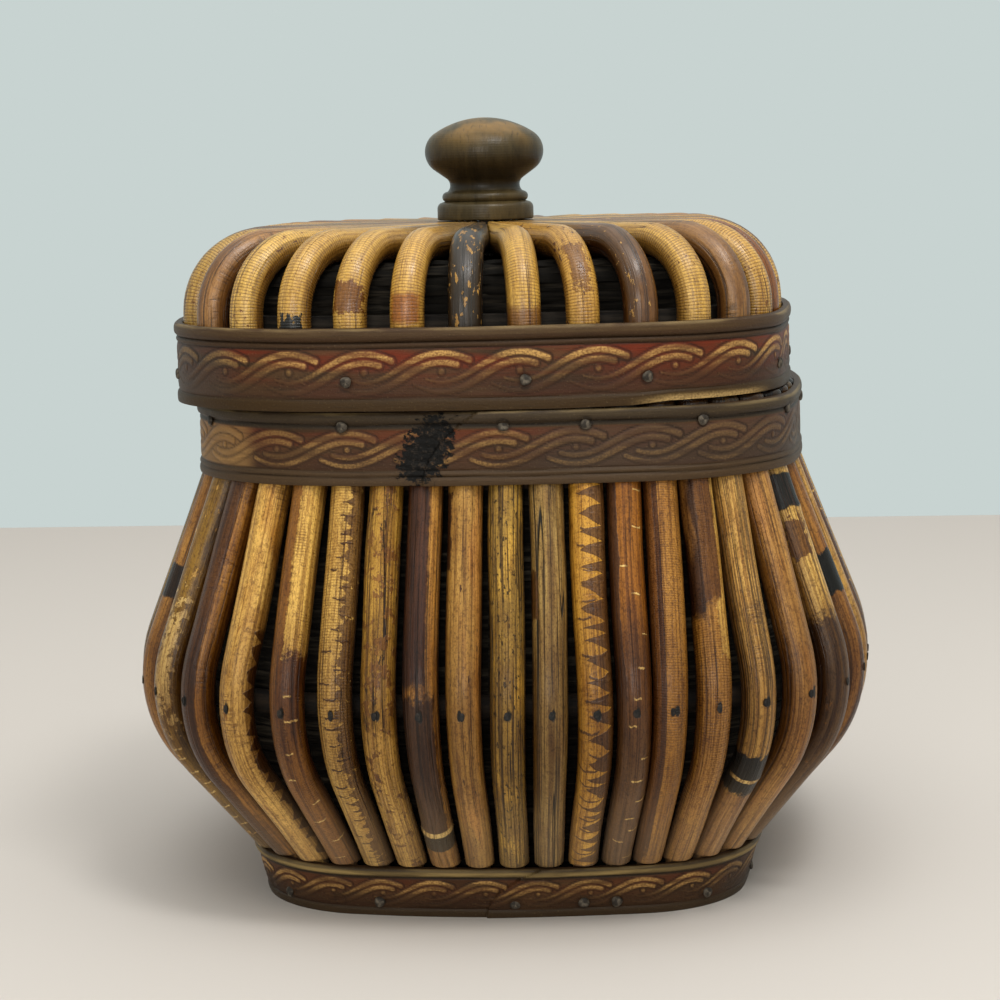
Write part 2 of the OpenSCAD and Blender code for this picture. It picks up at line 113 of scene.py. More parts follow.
# Nails sit in the canes with these numbers, counted from the middle of the front to the right
NECK_NAILS = [-4, 0, 2] + list(range(5, 45, 3))
BASE_NAILS = [0, 2, 3] + list(range(6, 49, 3))
LID_NAILS = [-2, 1] + list(range(3, 31, 3))
NECK_NAIL_Z = 126.9
BASE_NAIL_Z = 3.8
LID_NAIL_Z = 138.0
KNOB_Z = 174.8

SIDES = ("front", "right", "back", "left")
CORNERS = ("front_right", "back_right", "back_left", "front_left")


def look(heading):
    """Way out of the plan at a heading."""
    return np.stack([np.sin(heading), -np.cos(heading)], -1)


def plan_stops(off):
    """Walks to where bow and corner meet, in the quarter of the plan from one side's middle to the next."""
    side = BOW_HALF * (BOW_R + off)
    corner = (HALF_PI - 2 * BOW_HALF) * (CORNER_R + off)
    return 0, side, side + corner, 2 * side + corner


def plan_length(off):
    return 4 * plan_stops(off)[-1]


def plan_heading(walk, off):
    """Heading of the plan curve after a walk from the middle of the front face, to the right."""
    stops = plan_stops(off)
    turn, local = np.divmod(walk, stops[-1])
    return turn * HALF_PI + np.interp(local, stops, PLAN_TURNS)


def plan_walk(heading, off):
    """Walk from the middle of the front face to where the plan curve looks in the heading."""
    stops = plan_stops(off)
    turn, local = np.divmod(heading, HALF_PI)
    return turn * stops[-1] + np.interp(local, PLAN_TURNS, stops)


def plan_point(heading, off):
    """Point of the plan curve that looks in the heading."""
    turn = np.floor((heading + BOW_HALF) / HALF_PI)
    local = heading - turn * HALF_PI
    on_bow = local < BOW_HALF
    r = np.where(on_bow, BOW_R, CORNER_R) + off
    x = np.where(on_bow, 0.0, CORNER_C) + r * np.sin(local)
    y = np.where(on_bow, BOW_C, -CORNER_C) - r * np.cos(local)
    c, s = np.cos(turn * HALF_PI), np.sin(turn * HALF_PI)
    return np.stack([x * c - y * s, x * s + y * c], -1)


def at(flat, z):
    """Points of the plan at a height."""
    return np.concatenate([flat, np.broadcast_to(z, flat.shape[:-1])[..., None]], -1)


def unit(v):
    return v / np.linalg.norm(v, axis=-1, keepdims=True)


def bell(q):
    return np.exp(-q * q)


def circle(count):
    return FULL_TURN * np.arange(count) / count


def centred(count, length):
    """Ends of equal steps over a length with 0 in its middle."""
    return (np.arange(count + 1) / count - 0.5) * length


def walked(points):
    """Length walked along a row of points, up to each of them."""
    return np.concatenate([[0], np.cumsum(np.linalg.norm(np.diff(points, axis=0), axis=1))])


def points_at(places, stops, points):
    """Points at places along a row of points that are at the stops."""
    return np.stack([np.interp(places, stops, column) for column in np.transpose(points)], -1)


class Shape:
    """Grids of points gathered into one mesh, with one map in millimetres and one map for baking."""

    def __init__(self):
        self.points, self.faces, self.skin, self.bake, self.values = [], [], [], [], {}
        self.count = 0
        self.strips = 0

    def lay(self, across, along, u, v):
        """Adds corners of faces to the map in millimetres and to the map for baking."""
        for corners, pair in ((self.skin, (across, along)), (self.bake, (u, v))):
            corners.append(np.stack(np.broadcast_arrays(*pair), -1).reshape(-1, 2))

    def grid(self, points, along, across, wrap=False, caps=False, strips=1, share=1.0, **values):
        """Adds a grid whose columns run round. Its rows also meet if wrap is set, and caps close its ends.

        On the map for baking the columns are cut into strips, each of which takes a share of the height.
        """
        rows, cols = points.shape[:2]
        i, j = np.meshgrid(np.arange(rows - (not wrap)), np.arange(cols), indexing="ij")
        row = np.stack([i, i + 1, i + 1, i], -1).reshape(-1, 4)
        col = np.stack([j, j, j + 1, j + 1], -1).reshape(-1, 4)
        self.faces += (self.count + (row % rows) * cols + col % cols).tolist()
        cut = cols // strips
        strip = np.minimum(j.reshape(-1, 1) // cut, strips - 1)
        wide = np.where(strip == strips - 1, cols - strip * cut, cut)
        level = strip + (row + 1) / (rows + 1 + wrap)
        self.lay(across[col], along[row], (col - strip * cut) / wide, self.strips + share * level)
        self.points.append(points.reshape(-1, 3))
        for name, value in values.items():
            self.values.setdefault(name, []).append(value.reshape(-1))
        self.count += rows * cols
        if caps:
            self.caps(points, along, across, share)
        self.strips += share * strips

    def caps(self, points, along, across, share):
        """Closes both ends of the grid just added, each with a fan of triangles."""
        rows, cols = points.shape[:2]
        j = np.arange(cols)
        for end, tip, order in ((0, 0, [0, 1, 2]), (rows - 1, rows + 1, [0, 2, 1])):
            ring = self.count + (end - rows) * cols
            middle = np.full(cols, self.count + (end > 0))
            self.faces += np.stack([middle, ring + j, ring + (j + 1) % cols], 1)[:, order].tolist()
            spot = np.stack([j + 0.5, j, j + 1], 1)[:, order]
            level = np.array([tip, end + 1, end + 1])[order] / (rows + 1)
            spread = np.interp(spot, np.arange(cols + 1), across)
            self.lay(spread, along[end], spot / cols, self.strips + share * level)
        self.points.append(points[[0, -1]].mean(1))
        self.count += 2

    def build(self, name, material, body, slot, *nodes, crease=50):
        """Makes the mesh, and lets it ride on a body and stand for CAD nodes."""
        mesh = bpy.data.meshes.new(name)
        mesh.from_pydata((np.concatenate(self.points) * MM).tolist(), [], self.faces)
        bake = np.concatenate(self.bake) / [1, self.strips]
        for layer, values in (("Skin", np.concatenate(self.skin)), ("OFBake", bake)):
            mesh.uv_layers.new(name=layer).uv.foreach_set("vector", values.astype(np.float32).ravel())
        for key, values in self.values.items():
            attribute = mesh.attributes.new(key, "FLOAT", "POINT")
            attribute.data.foreach_set("value", np.concatenate(values).astype(np.float32))
        mesh.shade_smooth()
        mesh.set_sharp_from_angle(angle=math.radians(crease))
        mesh.materials.append(material)
        piece = bpy.data.objects.new(name, mesh)
        bpy.context.scene.collection.objects.link(piece)
        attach(piece, body)
        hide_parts(*nodes)
        return piece


def rgb(code):
    """Linear colour of a code such as #c29a4a."""
    parts = [int(code[k:k + 2], 16) / 255 for k in (1, 3, 5)]
    return tuple(p / 12.92 if p <= 0.04045 else ((p + 0.055) / 1.055) ** 2.4 for p in parts) + (1.0,)


class Wire:
    """Output of a node in a graph. Arithmetic with it adds nodes to the graph."""

    def __init__(self, graph, socket):
        self.graph, self.socket = graph, socket

    def __add__(self, other):
        return self.graph.math("ADD", self, other)

    def __sub__(self, other):
        return self.graph.math("SUBTRACT", self, other)

    def __rsub__(self, other):
        return self.graph.math("SUBTRACT", other, self)

    def __mul__(self, other):
        return self.graph.math("MULTIPLY", self, other)

    def __truediv__(self, other):
        return self.graph.math("DIVIDE", self, other)

    def __abs__(self):
        return self.graph.math("ABSOLUTE", self)

    def step(self, low, high):
        """Smooth rise from 0 at low to 1 at high."""
        return self.graph.add("MapRange", {0: self, 1: low, 2: high}, 0, interpolation_type="SMOOTHSTEP")


class Graph:
    """Nodes of one material, made by short calls. An input is a number, a vector, a colour code or a wire."""

    def __init__(self, name):
        self.material = bpy.data.materials.new(name)
        self.material.use_nodes = True
        self.tree = self.material.node_tree
        self.tree.nodes.clear()

    def add(self, kind, inputs, *outputs, **settings):
        """Adds a node, and gives the wires from the outputs asked for."""
        node = self.tree.nodes.new("ShaderNode" + kind)
        for key, value in settings.items():
            setattr(node, key, value)
        for key, value in inputs.items():
            if isinstance(value, Wire):
                self.tree.links.new(value.socket, node.inputs[key])
            else:
                node.inputs[key].default_value = rgb(value) if isinstance(value, str) else value
        wires = [Wire(self, node.outputs[key]) for key in outputs]
        return wires[0] if len(wires) == 1 else wires

    def math(self, operation, a, b=0.0):
        return self.add("Math", {0: a, 1: b}, 0, operation=operation)

    def vector(self, operation, a, b):
        return self.add("VectorMath", {0: a, 1: b}, 0, operation=operation)

    def noise(self, place, scale, detail=2.0, roughness=0.55):
        vector = self.vector("MULTIPLY", place, scale)
        inputs = {"Vector": vector, "Scale": 1.0, "Detail": detail, "Roughness": roughness}
        return self.add("TexNoise", inputs, "Fac")

    def mix(self, share, a, b, blend="MIX"):
        return self.add("Mix", {0: share, 6: a, 7: b}, 2, data_type="RGBA", blend_type=blend)

    def value(self, name):
        return self.add("Attribute", {}, "Fac", attribute_name=name)

    def skin(self, seed=0.0):
        """Millimetres across and along the piece, with a third number that differs between pieces."""
        vector = self.add("UVMap", {}, 0, uv_map="Skin")
        x, y = self.add("SeparateXYZ", {0: vector}, "X", "Y")
        return x, y, self.vector("ADD", vector, (0, 0, seed))

    def place(self):
        return self.add("TexCoord", {}, "Object")

    def finish(self, colour, height=None, depth=0.0, rough=0.5, shine=0.5, metallic=0.0):
        inputs = {"Base Color": colour, "Roughness": rough, "Specular IOR Level": shine, "Metallic": metallic}
        if height is not None:
            bump = {"Strength": 1.0, "Distance": depth * MM, "Height": height}
            inputs["Normal"] = self.add("Bump", bump, 0)
        shader = self.add("BsdfPrincipled", inputs, 0)
        self.add("OutputMaterial", {0: shader}, is_active_output=True)
        return self.material


class Cane:
    """Skin of one cane, painted in layers. X runs to the right from the middle of the outside, and y down."""

    def __init__(self, name, base, seed):
        self.g = Graph(name)
        self.x, self.y, self.place = self.g.skin(seed)
        self.rag = self.noise(0.55, 0.5, 1.0, 4.0, 0.65) - 0.5
        self.colour = base
        self.height = self.noise(1.5, 0.045, 1.0, 3.0, 0.6) * 0.5

    def noise(self, across, along, depth, detail=2.0, roughness=0.55):
        return self.g.noise(self.place, (across, along, depth), detail, roughness)

    def paint(self, tone, mask, lift=0.0):
        self.colour = self.g.mix(mask, self.colour, tone)
        if lift:
            self.height += mask * lift

    def cloud(self, tone, share, wide=8.0, long=40.0):
        """Soft broad change of tone."""
        low = 0.78 - 0.5 * share
        self.paint(tone, self.noise(1 / wide, 1 / long, 1.0, 3.0).step(low, low + 0.14))

    def grain(self, tone, share, fine=1.2):
        """Dark streaks along the cane."""
        low = 0.66 - 0.26 * share
        self.paint(tone, self.noise(fine, 0.018, 1.7, 3.0, 0.7).step(low, low + 0.09) * 0.75, -0.6)

    def cracks(self, tone, width=0.02):
        """Long thin dark cracks."""
        away = abs(self.noise(0.33, 0.006, 2.3, 1.0) - 0.5)
        self.paint(tone, away.step(width, 0.2 * width), -1.5)

    def edge(self, tone, start, side, wander=1.0, tooth=0.0, pitch=5.0, rag=3.0, first=-9.0):
        """Fills one side of a line along the cane, which wanders, is ragged and may have teeth."""
        line = (self.noise(0.0, 0.045, 1.3) - 0.5) * (4.0 * wander) + start
        if tooth:
            warped = self.y + self.noise(0.0, 0.12, 3.1) * 9.0
            saw = self.g.math("PINGPONG", warped, pitch / 2)
            line += (saw * (2 / pitch) - 0.5) * (2 * tooth)
        over = (self.x - (line + self.rag * rag)) * side
        self.paint(tone, over.step(-0.1, 0.12) * self.y.step(first, first + 3.0), 0.5)

    def patch(self, tone, x, y, half_x, half_y, rag=0.8, soft=0.06, lift=0.4):
        """Fills a ragged box."""
        far = self.g.math("MAXIMUM", abs(self.x - x) / half_x, abs(self.y - y) / half_y)
        self.paint(tone, (far + self.rag * rag).step(1.0 + soft, 1.0 - soft), lift)

    def hole(self, tone, x, y, half_x, half_y):
        """Fills a small uneven oval."""
        far_x, far_y = (self.x - x) / half_x, (self.y - y) / half_y
        far = far_x * far_x + far_y * far_y + self.rag * 5.0
        self.paint(tone, far.step(2.4, 0.8), -1.0)

    def flecks(self, tone, share, wide=2.2, long=3.5, lift=0.4):
        """Scattered small flakes."""
        low = 0.72 - 0.3 * share
        self.paint(tone, self.noise(1 / wide, 1 / long, 2.9, 3.0, 0.6).step(low, low + 0.03), lift)

    def arcs(self, tone, pitch, length, thick=0.28, start=0.0, end=200.0, x=0.0):
        """Thin curved marks across the cane near x, one in each stretch of the pitch, at a random place."""
        g = self.g
        cell = g.math("FLOOR", self.y / pitch)
        dice = g.add("TexWhiteNoise", {"W": cell}, "Color", noise_dimensions="1D")
        one, two, three = g.add("SeparateColor", {0: dice}, 0, 1, 2)
        across = self.x - x - (one - 0.5) * 5.0
        bow = across * across * 0.06 + self.rag * 1.6
        middle = (cell + (two * 0.5 + 0.25)) * pitch
        thin = abs(self.y - middle + bow).step(thick, 0.4 * thick)
        reach = (three * 0.6 + 0.4) * (length / 2)
        within = (abs(across) - reach).step(0.3, -0.2)
        span = self.y.step(start - 1, start + 1) * self.y.step(end + 1, end - 1)
        self.paint(tone, thin * within * span, 0.5)

    def where(self, share, *scale):
        """Mask of the places that have fine lines."""
        low = 0.62 - 0.4 * share
        return self.noise(*scale).step(low, low + 0.18)

    def lines(self, tone, share):
        """Fine uneven lines across the skin, in places."""
        line = self.noise(0.14, 1.5, 4.1, 2.0, 0.6).step(0.5, 0.62)
        self.paint(tone, line * self.where(share, 0.2, 0.06, 5.3) * 0.55, -0.6)

    def rings(self, tone, share, pitch=0.7):
        """Fine even lines across a pale skin, in places."""
        warp = self.noise(0.1, 0.16, 4.7) * 9.0
        wave = self.g.math("SINE", self.y * (FULL_TURN / pitch) + warp).step(0.2, 0.9)
        self.paint(tone, wave * self.where(share, 0.3, 0.12, 5.9, 3.0) * 0.5, -0.8)

    def finish(self, rough, shine, age, belly_shade_and_pale_foot):
        """Adds fibres, stains, dirt and painted shade on the sides, painted shade round the belly and at the
        top end, varnish, and a paler foot. Gives the material.
        """
        g = self.g
        fibre = self.noise(1.5, 0.02, 6.1, 4.0, 0.75)
        blotch = self.noise(0.2, 0.07, 3.3, 4.0, 0.65)
        speck = self.noise(1.3, 0.8, 7.7, 4.0, 0.7)
        sand = self.noise(2.6, 1.7, 8.9, 3.0, 0.7)
        colour = self.colour
        for mask, share, tone in (
            (fibre.step(0.46, 0.6), 0.65 * age, FIBRE),
            (blotch.step(0.44, 0.68), 0.5 * age, STAIN),
            (speck.step(0.5, 0.64), 0.5 * age, GRIME_AND_SHADE),
            (sand.step(0.5, 0.62), 0.45 * age, FIBRE),
            # Darker on both sides of the cane: partly dirt, partly painted shade where it turns towards its
            # neighbours
            (abs(self.x).step(3.2, 7.5), 0.8, GRIME_AND_SHADE),
            # Painted shade in a band round the belly
            (abs(self.y - BRAD_Y).step(34.0, 4.0), belly_shade_and_pale_foot, GRIME_AND_SHADE),
            # Painted shade at the top end, where the cane goes into the dark gap under the lid or under the
            # knob
            (self.y.step(5.0, 1.0), 0.9, DARK),
        ):
            colour = g.mix(mask * share, colour, tone, "MULTIPLY")
        colour = g.mix(1.0, colour, VARNISH, "MULTIPLY")
        # Paler towards the foot of the body canes
        colour = g.mix(self.y.step(88.0, 125.0) * (0.4 * belly_shade_and_pale_foot), colour, PALE_FOOT_TONE)
        height = self.height - fibre * age - speck * (0.4 * age)
        return g.finish(colour, height, 0.16, rough, shine)


FIBRE = "#86683c"
STAIN = "#b3925a"
GRIME_AND_SHADE = "#7a5c34"
VARNISH = "#ffedc0"
PALE_FOOT_TONE = "#b4a084"
UMBER = "#4a2c18"
BROWN = "#775330"
TAN = "#ad8650"
HONEY = "#bb9148"
GOLD = "#d2b26a"
STRAW = "#d9b873"
OLIVE = "#8f7438"
DARK = "#2b1a10"
BLACK = "#15130f"
CREAM = "#e6d2a0"


def belly_vertex():
    """Where a body cane's two slanted lines would cross, so that the bend between them reaches the belly."""
    x, z = BELLY_OFF + 4, BELLY_Z - 6
    r = BODY_BENDS[1]
    for _ in range(6):
        above = math.atan((x - NECK_OFF) / (NECK_BEND_Z - z))
        below = math.atan((x - FOOT_OFF) / (z - BASE_H))
        out = r * (math.sin(above) + math.sin(below)) / math.sin(above + below)
        rise = r * (math.cos(below) - math.cos(above)) / math.sin(above + below)
        x, z = BELLY_OFF + out - r, BELLY_Z + rise
    return x, z


def cane_heading(k, off, share=CROWD):
    away = min(abs((k + 0.5) / CANES_PER_SIDE - CROWD_MIDDLE) / CROWD_REACH, 1)
    crowded = k + 0.5 - share * math.cos(HALF_PI * away) ** 2
    return float(plan_heading(crowded * plan_length(off) / CANE_COUNT, off))


def lid_cane_heading(k):
    return float(plan_heading(k * plan_length(LID_CANE_OFF) / LID_CANE_COUNT, LID_CANE_OFF))


VERTEX = belly_vertex()
CANE_AROUND = 22
CANE_STEP = 1.5
BEND_STEPS = 13
END_SHRINK = 0.28
END_RINGS = np.array([0.12, 0.35, 0.75])


def cane_path(corners, bends, rounding):
    """Points along straight lengths and the bends between them, and the length walked to each.

    They are about a step apart, and closer at the ends, where the cane is rounded.
    """
    points = [corners[0]]
    for before, corner, after, r in zip(corners, corners[1:], corners[2:], bends):
        came, goes = unit(corner - before), unit(after - corner)
        turn = math.acos(float(np.clip(came @ goes, -1, 1)))
        inward = unit(goes - came * (goes @ came))
        start = corner - came * r * math.tan(turn / 2)
        for a in np.linspace(0, turn, BEND_STEPS):
            points.append(start + came * r * math.sin(a) + inward * r * (1 - math.cos(a)))
    points.append(corners[-1])
    stops = walked(points)
    even = np.linspace(0, stops[-1], int(stops[-1] / CANE_STEP) + 1)
    near = END_RINGS * rounding
    places = np.unique(np.concatenate([even, near, stops[-1] - near]))
    return points_at(places, even, points_at(even, stops, points)), places


def tube(path, radius, side, count):
    """Rings round a path. The column in the middle faces out, and the next ones turn towards the side."""
    ahead = unit(np.gradient(path, axis=0))
    right = unit(side - ahead * (ahead @ side)[:, None])
    out = np.cross(ahead, right)
    angle = circle(count)[:, None] - math.pi
    ring = np.cos(angle) * out[:, None] + np.sin(angle) * right[:, None]
    return path[:, None] + radius[:, None, None] * ring


def round_ends(radius, places, depth):
    """Radius drawn in over a short depth at both ends of a rod."""
    t = np.clip(np.minimum(places, places[-1] - places) / depth, 0, 1)
    return radius * (1 - END_SHRINK + END_SHRINK * np.sqrt(1 - (1 - t) ** 2))


def waves(places, dice, size, shortest, longest):
    """Waves along a cane, of a random length and phase."""
    return size * np.sin(places / dice.uniform(shortest, longest) + dice.uniform(0, 6))


CANE_ROUNDING = 1.2
SWAY = (0.16, 9, 22)
SWAY_START = 20.0
SWAY_EASE = 15.0
UNEVEN = (0.012, 5, 11)
TAPER_Y = 75.0
KNUCKLE_OUT = 0.22
KNUCKLE_HALF = 1.1
CUT_REACH = 9.0
END_LAP = 0.6
END_LEVELS = 4
END_SHARE = 0.06


def body_cane(k, material, group, knuckles=()):
    """One bent cane of the body, a little uneven in thickness, with a thinner end behind the base strip."""
    dice = random.Random(1000 + k)
    vertex_off, vertex_z = VERTEX
    h, h_foot = cane_heading(k, NECK_OFF), cane_heading(k, FOOT_OFF)
    top = plan_point(h, NECK_OFF)
    belly = at(plan_point(cane_heading(k, NECK_OFF, BELLY_CROWD), vertex_off), vertex_z)
    foot = at(plan_point(h_foot, FOOT_OFF), BASE_H)
    cut = belly + (foot - belly) * (vertex_z - FOOT_CUT_Z) / (vertex_z - BASE_H)
    corners = (at(top, CANE_TOP_Z), at(top, NECK_BEND_Z), belly, cut)
    path, places = cane_path(corners, BODY_BENDS, CANE_ROUNDING)
    side = at(look(h + HALF_PI), 0)
    sway = sum(waves(places, dice, *SWAY) for _ in range(2))
    free = np.clip(np.minimum(places - SWAY_START, places[-1] - places) / SWAY_EASE, 0, 1)
    path = path + (sway * free)[:, None] * side
    radius = np.interp(places, [TAPER_Y, places[-1]], [CANE_R, CANE_FOOT_R])
    radius = radius * (1 + waves(places, dice, *UNEVEN))
    for y in knuckles:
        radius = radius + KNUCKLE_OUT * bell((places - y) / KNUCKLE_HALF)
    rings = tube(path, round_ends(radius, places, CANE_ROUNDING), side, CANE_AROUND)
    level = np.clip(1 - (places[-1] - places) / CUT_REACH, 0, 1)[:, None]
    ahead = unit(cut - belly)
    rings += ahead * (level * (path[:, None, 2] - rings[..., 2]) / ahead[2])[..., None]
    across = centred(CANE_AROUND, FULL_TURN * CANE_R)
    shape = Shape()
    shape.grid(rings, places, across, caps=True)
    levels = np.linspace(FOOT_CUT_Z + END_LAP, END_Z, END_LEVELS)
    end_off = BASE_OFF + BASE_LEAN / BASE_H * levels - END_ROOM
    end = at(plan_point(np.full(END_LEVELS, h_foot), end_off), levels)
    rings = tube(end, np.full(END_LEVELS, END_R), side, CANE_AROUND // 2)
    shape.grid(rings, places[-1] + FOOT_CUT_Z - levels, across[::2], caps=True, share=END_SHARE)
    return shape.build(f"cane_{k % CANE_COUNT:02d}", material, "body", "cane", group)


LID_CANE_ROUNDING = 1.0


def lid_cane(k, material, group):
    """One bent cane of the lid, pared at its inner end to fit between its neighbours."""
    dice = random.Random(2000 + k)
    p = plan_point(lid_cane_heading(k), LID_CANE_OFF)
    way = unit(p)
    side = np.array([-way[1], way[0]])
    corners = (at(way * LID_CANE_END, LID_PLANE_Z), at(p, LID_PLANE_Z), at(p, LID_Z))
    path, places = cane_path(corners, (LID_BEND_R,), LID_CANE_ROUNDING)
    radius = LID_CANE_R * (1 + waves(places, dice, *UNEVEN))
    rings = tube(path, round_ends(radius, places, LID_CANE_ROUNDING), at(side, 0), CANE_AROUND)
    reach, lean = rings[..., :2] @ way, rings[..., :2] @ side
    before, after = [unit(plan_point(lid_cane_heading(k + d), LID_CANE_OFF)) for d in (-0.5, 0.5)]
    low = np.minimum(reach * (before @ side) / (before @ way) + PARE_GAP, -PARE_LEAST)
    high = np.maximum(reach * (after @ side) / (after @ way) - PARE_GAP, PARE_LEAST)
    rings[..., :2] += (np.clip(lean, low, high) - lean)[..., None] * side
    rings[..., 0] += LID_SHIFT
    shape = Shape()
    shape.grid(rings, places, centred(CANE_AROUND, FULL_TURN * LID_CANE_R), caps=True)
    return shape.build(f"lid_cane_{k % LID_CANE_COUNT:02d}", material, "lid", "lid_cane", group)


# Looks of single canes, each as layers over a base tone
def plain_tan(c):
    c.cloud(BROWN, 0.5)
    c.grain(UMBER, 0.45)
    c.flecks(UMBER, 0.15, 1.0, 6.0)


def golden_lined(c):
    c.cloud("#a8823f", 0.4)
    c.rings("#5d3d17", 0.9)
    c.flecks("#7a5424", 0.3, 1.4, 2.6, 0.0)
    c.cracks("#5a3c1a", 0.004)
    c.grain("#6b4519", 0.2)


def brown_scratched(c):
    c.cloud(UMBER, 0.6)
    c.grain(DARK, 0.4)
    c.arcs(STRAW, 7.0, 5.0)


def pale_toothed(c):
    c.lines("#8c6a34", 0.5)
    c.edge(BROWN, 4.5, 1, 0.6, 1.8, 4.6, 1.5)
    c.grain(BROWN, 0.25)


def olive_flaked(c):
    c.cloud("#6a5528", 0.6)
    c.flecks("#c9a860", 0.45, 2.0, 4.0)
    c.grain(UMBER, 0.3)


def split_brown(c):
    c.cloud(HONEY, 0.4)
    c.edge(UMBER, -1.0, -1, 0.7, rag=1.0)
    c.grain(DARK, 0.35)


def streaked(c):
    c.cloud(TAN, 0.5)
    c.grain(DARK, 0.75, 1.6)
    c.lines(UMBER, 0.4)


COMMON = (
    (TAN, plain_tan), (HONEY, golden_lined), (BROWN, brown_scratched), (STRAW, pale_toothed),
    (OLIVE, olive_flaked), (TAN, split_brown), (HONEY, streaked),
)


def cane_c(c):
    c.cloud("#6f5a2c", 0.6)
    c.flecks("#c7a662", 0.3, 1.8, 3.0)
    c.patch("#dcc898", 2.4, 69, 2.6, 13.0, 4.2)
    c.arcs(CREAM, 4.0, 4.0, 0.3, 88, 125, 3.0)
    c.grain(UMBER, 0.3)


def cane_d(c):
    c.cloud(TAN, 0.4)
    c.lines(BROWN, 0.5)
    c.edge("#57391d", 3.2, -1, 0.4, rag=0.6)
    c.grain(UMBER, 0.35)


def cane_e(c):
    c.cloud("#d0a65a", 0.5)
    c.lines("#8c6430", 0.35)
    c.flecks("#b48a48", 0.2, 3.0, 9.0, 0.0)
    c.edge("#775830", 6.2, 1, 0.4, 1.5, 4.8, 1.8, 55.0)
    c.grain(BROWN, 0.2)


def cane_f(c):
    c.cloud("#6a4524", 0.5)
    c.grain(UMBER, 0.35)
    c.patch("#dcbe76", 4.9, 38, 4.9, 24.5, 0.6)
    c.rings("#8a6630", 0.35)
    c.arcs(CREAM, 7.5, 4.5, 0.3, 68, 140, 1.8)


def cane_g(c):
    c.rings("#9a7638", 0.8)
    c.edge("#7d6340", 1.8, 1, 0.5, 0.9, 3.6, 4.6)
    c.arcs("#5a3f20", 3.4, 4.0, 0.3, 18, 140, 0.8)
    c.flecks("#e2c680", 0.2, 1.6, 1.6)
    c.cracks(DARK, 0.006)
    c.grain(UMBER, 0.25)


def cane_h(c):
    c.cloud("#bb9c54", 0.5)
    c.grain(UMBER, 0.5)
    c.flecks("#55401d", 0.3, 1.4, 5.0)
    c.cracks(DARK, 0.008)
    c.patch("#d2b26c", 0.0, 112, 12.0, 32.0, 0.5)
    c.flecks("#8e6a3c", 0.55, 3.0, 3.0)


def cane_i(c):
    c.grain("#8a5f2c", 0.5, 1.6)
    c.patch("#4a2e22", -5.5, 43, 7.3, 27.0, 0.25)
    c.patch("#523a2c", -2.0, 93, 6.0, 21.0, 0.5)
    c.patch(CREAM, 0.0, 113.2, 12.0, 0.9, 0.6)
    c.patch(BLACK, 1.0, 117.0, 7.0, 3.0, 0.5)
    c.grain(DARK, 0.5)


def cane_j(c):
    c.cloud("#b98f58", 0.6)
    c.grain(UMBER, 0.3)
    c.patch("#4e3420", -6.0, 32, 2.5, 9.0, 1.2)
    c.flecks(UMBER, 0.2, 0.9, 5.0)


def cane_k(c):
    c.cloud("#c6a856", 0.6, 10.0, 25.0)
    c.grain(DARK, 0.6, 1.5)
    c.flecks("#4a3a18", 0.42, 0.9, 2.2)
    c.cracks(DARK, 0.006)


def cane_l(c):
    c.cloud("#80663a", 0.6)
    c.grain(DARK, 0.55, 1.4)
    c.cracks(BLACK, 0.012)
    c.patch("#5d4326", -6.0, 48, 3.0, 6.0, 1.0)


def cane_m(c):
    c.cloud("#dcb457", 0.5)
    c.lines("#9a7230", 0.4)
    c.edge("#6e5236", 0.8, 1, 0.5, 3.0, 4.6, 1.2)
    c.arcs("#6e5236", 4.4, 8.0, 0.4, 20, 132)
    c.patch("#7c5226", 0.0, 131, 12.0, 1.6, 1.4)
    c.grain(BROWN, 0.25)


def cane_n(c):
    c.patch("#98682c", 1.5, 34, 7.0, 22.0, 0.6, 0.4, 0.0)
    c.edge("#533826", -2.6, -1, 0.8, rag=1.0)
    c.grain(UMBER, 0.4)
    c.patch("#6c523c", 0.0, 112, 14.0, 32.0, 0.4, 0.4, 0.0)
    c.arcs(CREAM, 9.0, 2.8, 0.26, 22, 72, 1.2)
    c.arcs(CREAM, 6.4, 4.0, 0.28, 72, 140, 1.0)


def cane_o(c):
    c.cloud("#c09452", 0.5)
    c.rings("#7c5626", 0.7, 0.6)
    c.edge("#7b5532", -3.2, -1, 0.3, rag=0.5)
    c.patch("#5a3a20", -2.6, 65, 0.7, 60.0, 0.7)
    c.grain(UMBER, 0.25)


def cane_p(c):
    c.rings("#7c5626", 0.7, 0.6)
    c.patch("#d8b970", 5.5, 36, 3.6, 24.0, 0.8)
    c.patch("#6c4a24", -0.4, 28, 2.6, 24.0, 0.3)
    c.patch("#432c1c", -6.4, 28, 4.0, 27.5, 0.25)
    c.patch("#d8b970", 2.8, 58, 2.4, 7.0, 1.0)
    c.grain(UMBER, 0.35)
    c.cloud("#9c7444", 0.4)


def cane_q(c):
    c.grain(DARK, 0.6, 2.2)
    c.lines(UMBER, 0.3)
    c.patch("#b08c62", 0.0, 126, 14.0, 24.0, 0.3)
    c.patch("#1e1c18", 0.0, 95.5, 14.0, 6.2, 0.9)
    c.patch(CREAM, -3.0, 96.5, 4.5, 0.55, 1.8)


def cane_r(c):
    c.cloud("#b58b58", 0.55)
    c.grain(UMBER, 0.4)


def cane_s(c):
    c.patch("#dabf80", 0.0, 34, 14.0, 26.0, 0.5)
    c.patch(BLACK, 0.0, 27, 14.0, 4.6, 0.7)
    c.patch("#7a5a34", -4.0, 40, 3.0, 5.0, 1.6)
    c.flecks("#8a683a", 0.25, 3.0, 5.0)
    c.grain(UMBER, 0.4)


def cane_t(c):
    c.cloud(BROWN, 0.5)
    c.grain(UMBER, 0.4)
    c.patch(BLACK, 0.0, 51, 14.0, 5.5, 0.7)


def cane_b(c):
    c.cloud("#8d6438", 0.5)
    c.grain(UMBER, 0.4)
    c.patch("#2f2116", 0.0, 50, 14.0, 4.4, 0.5)


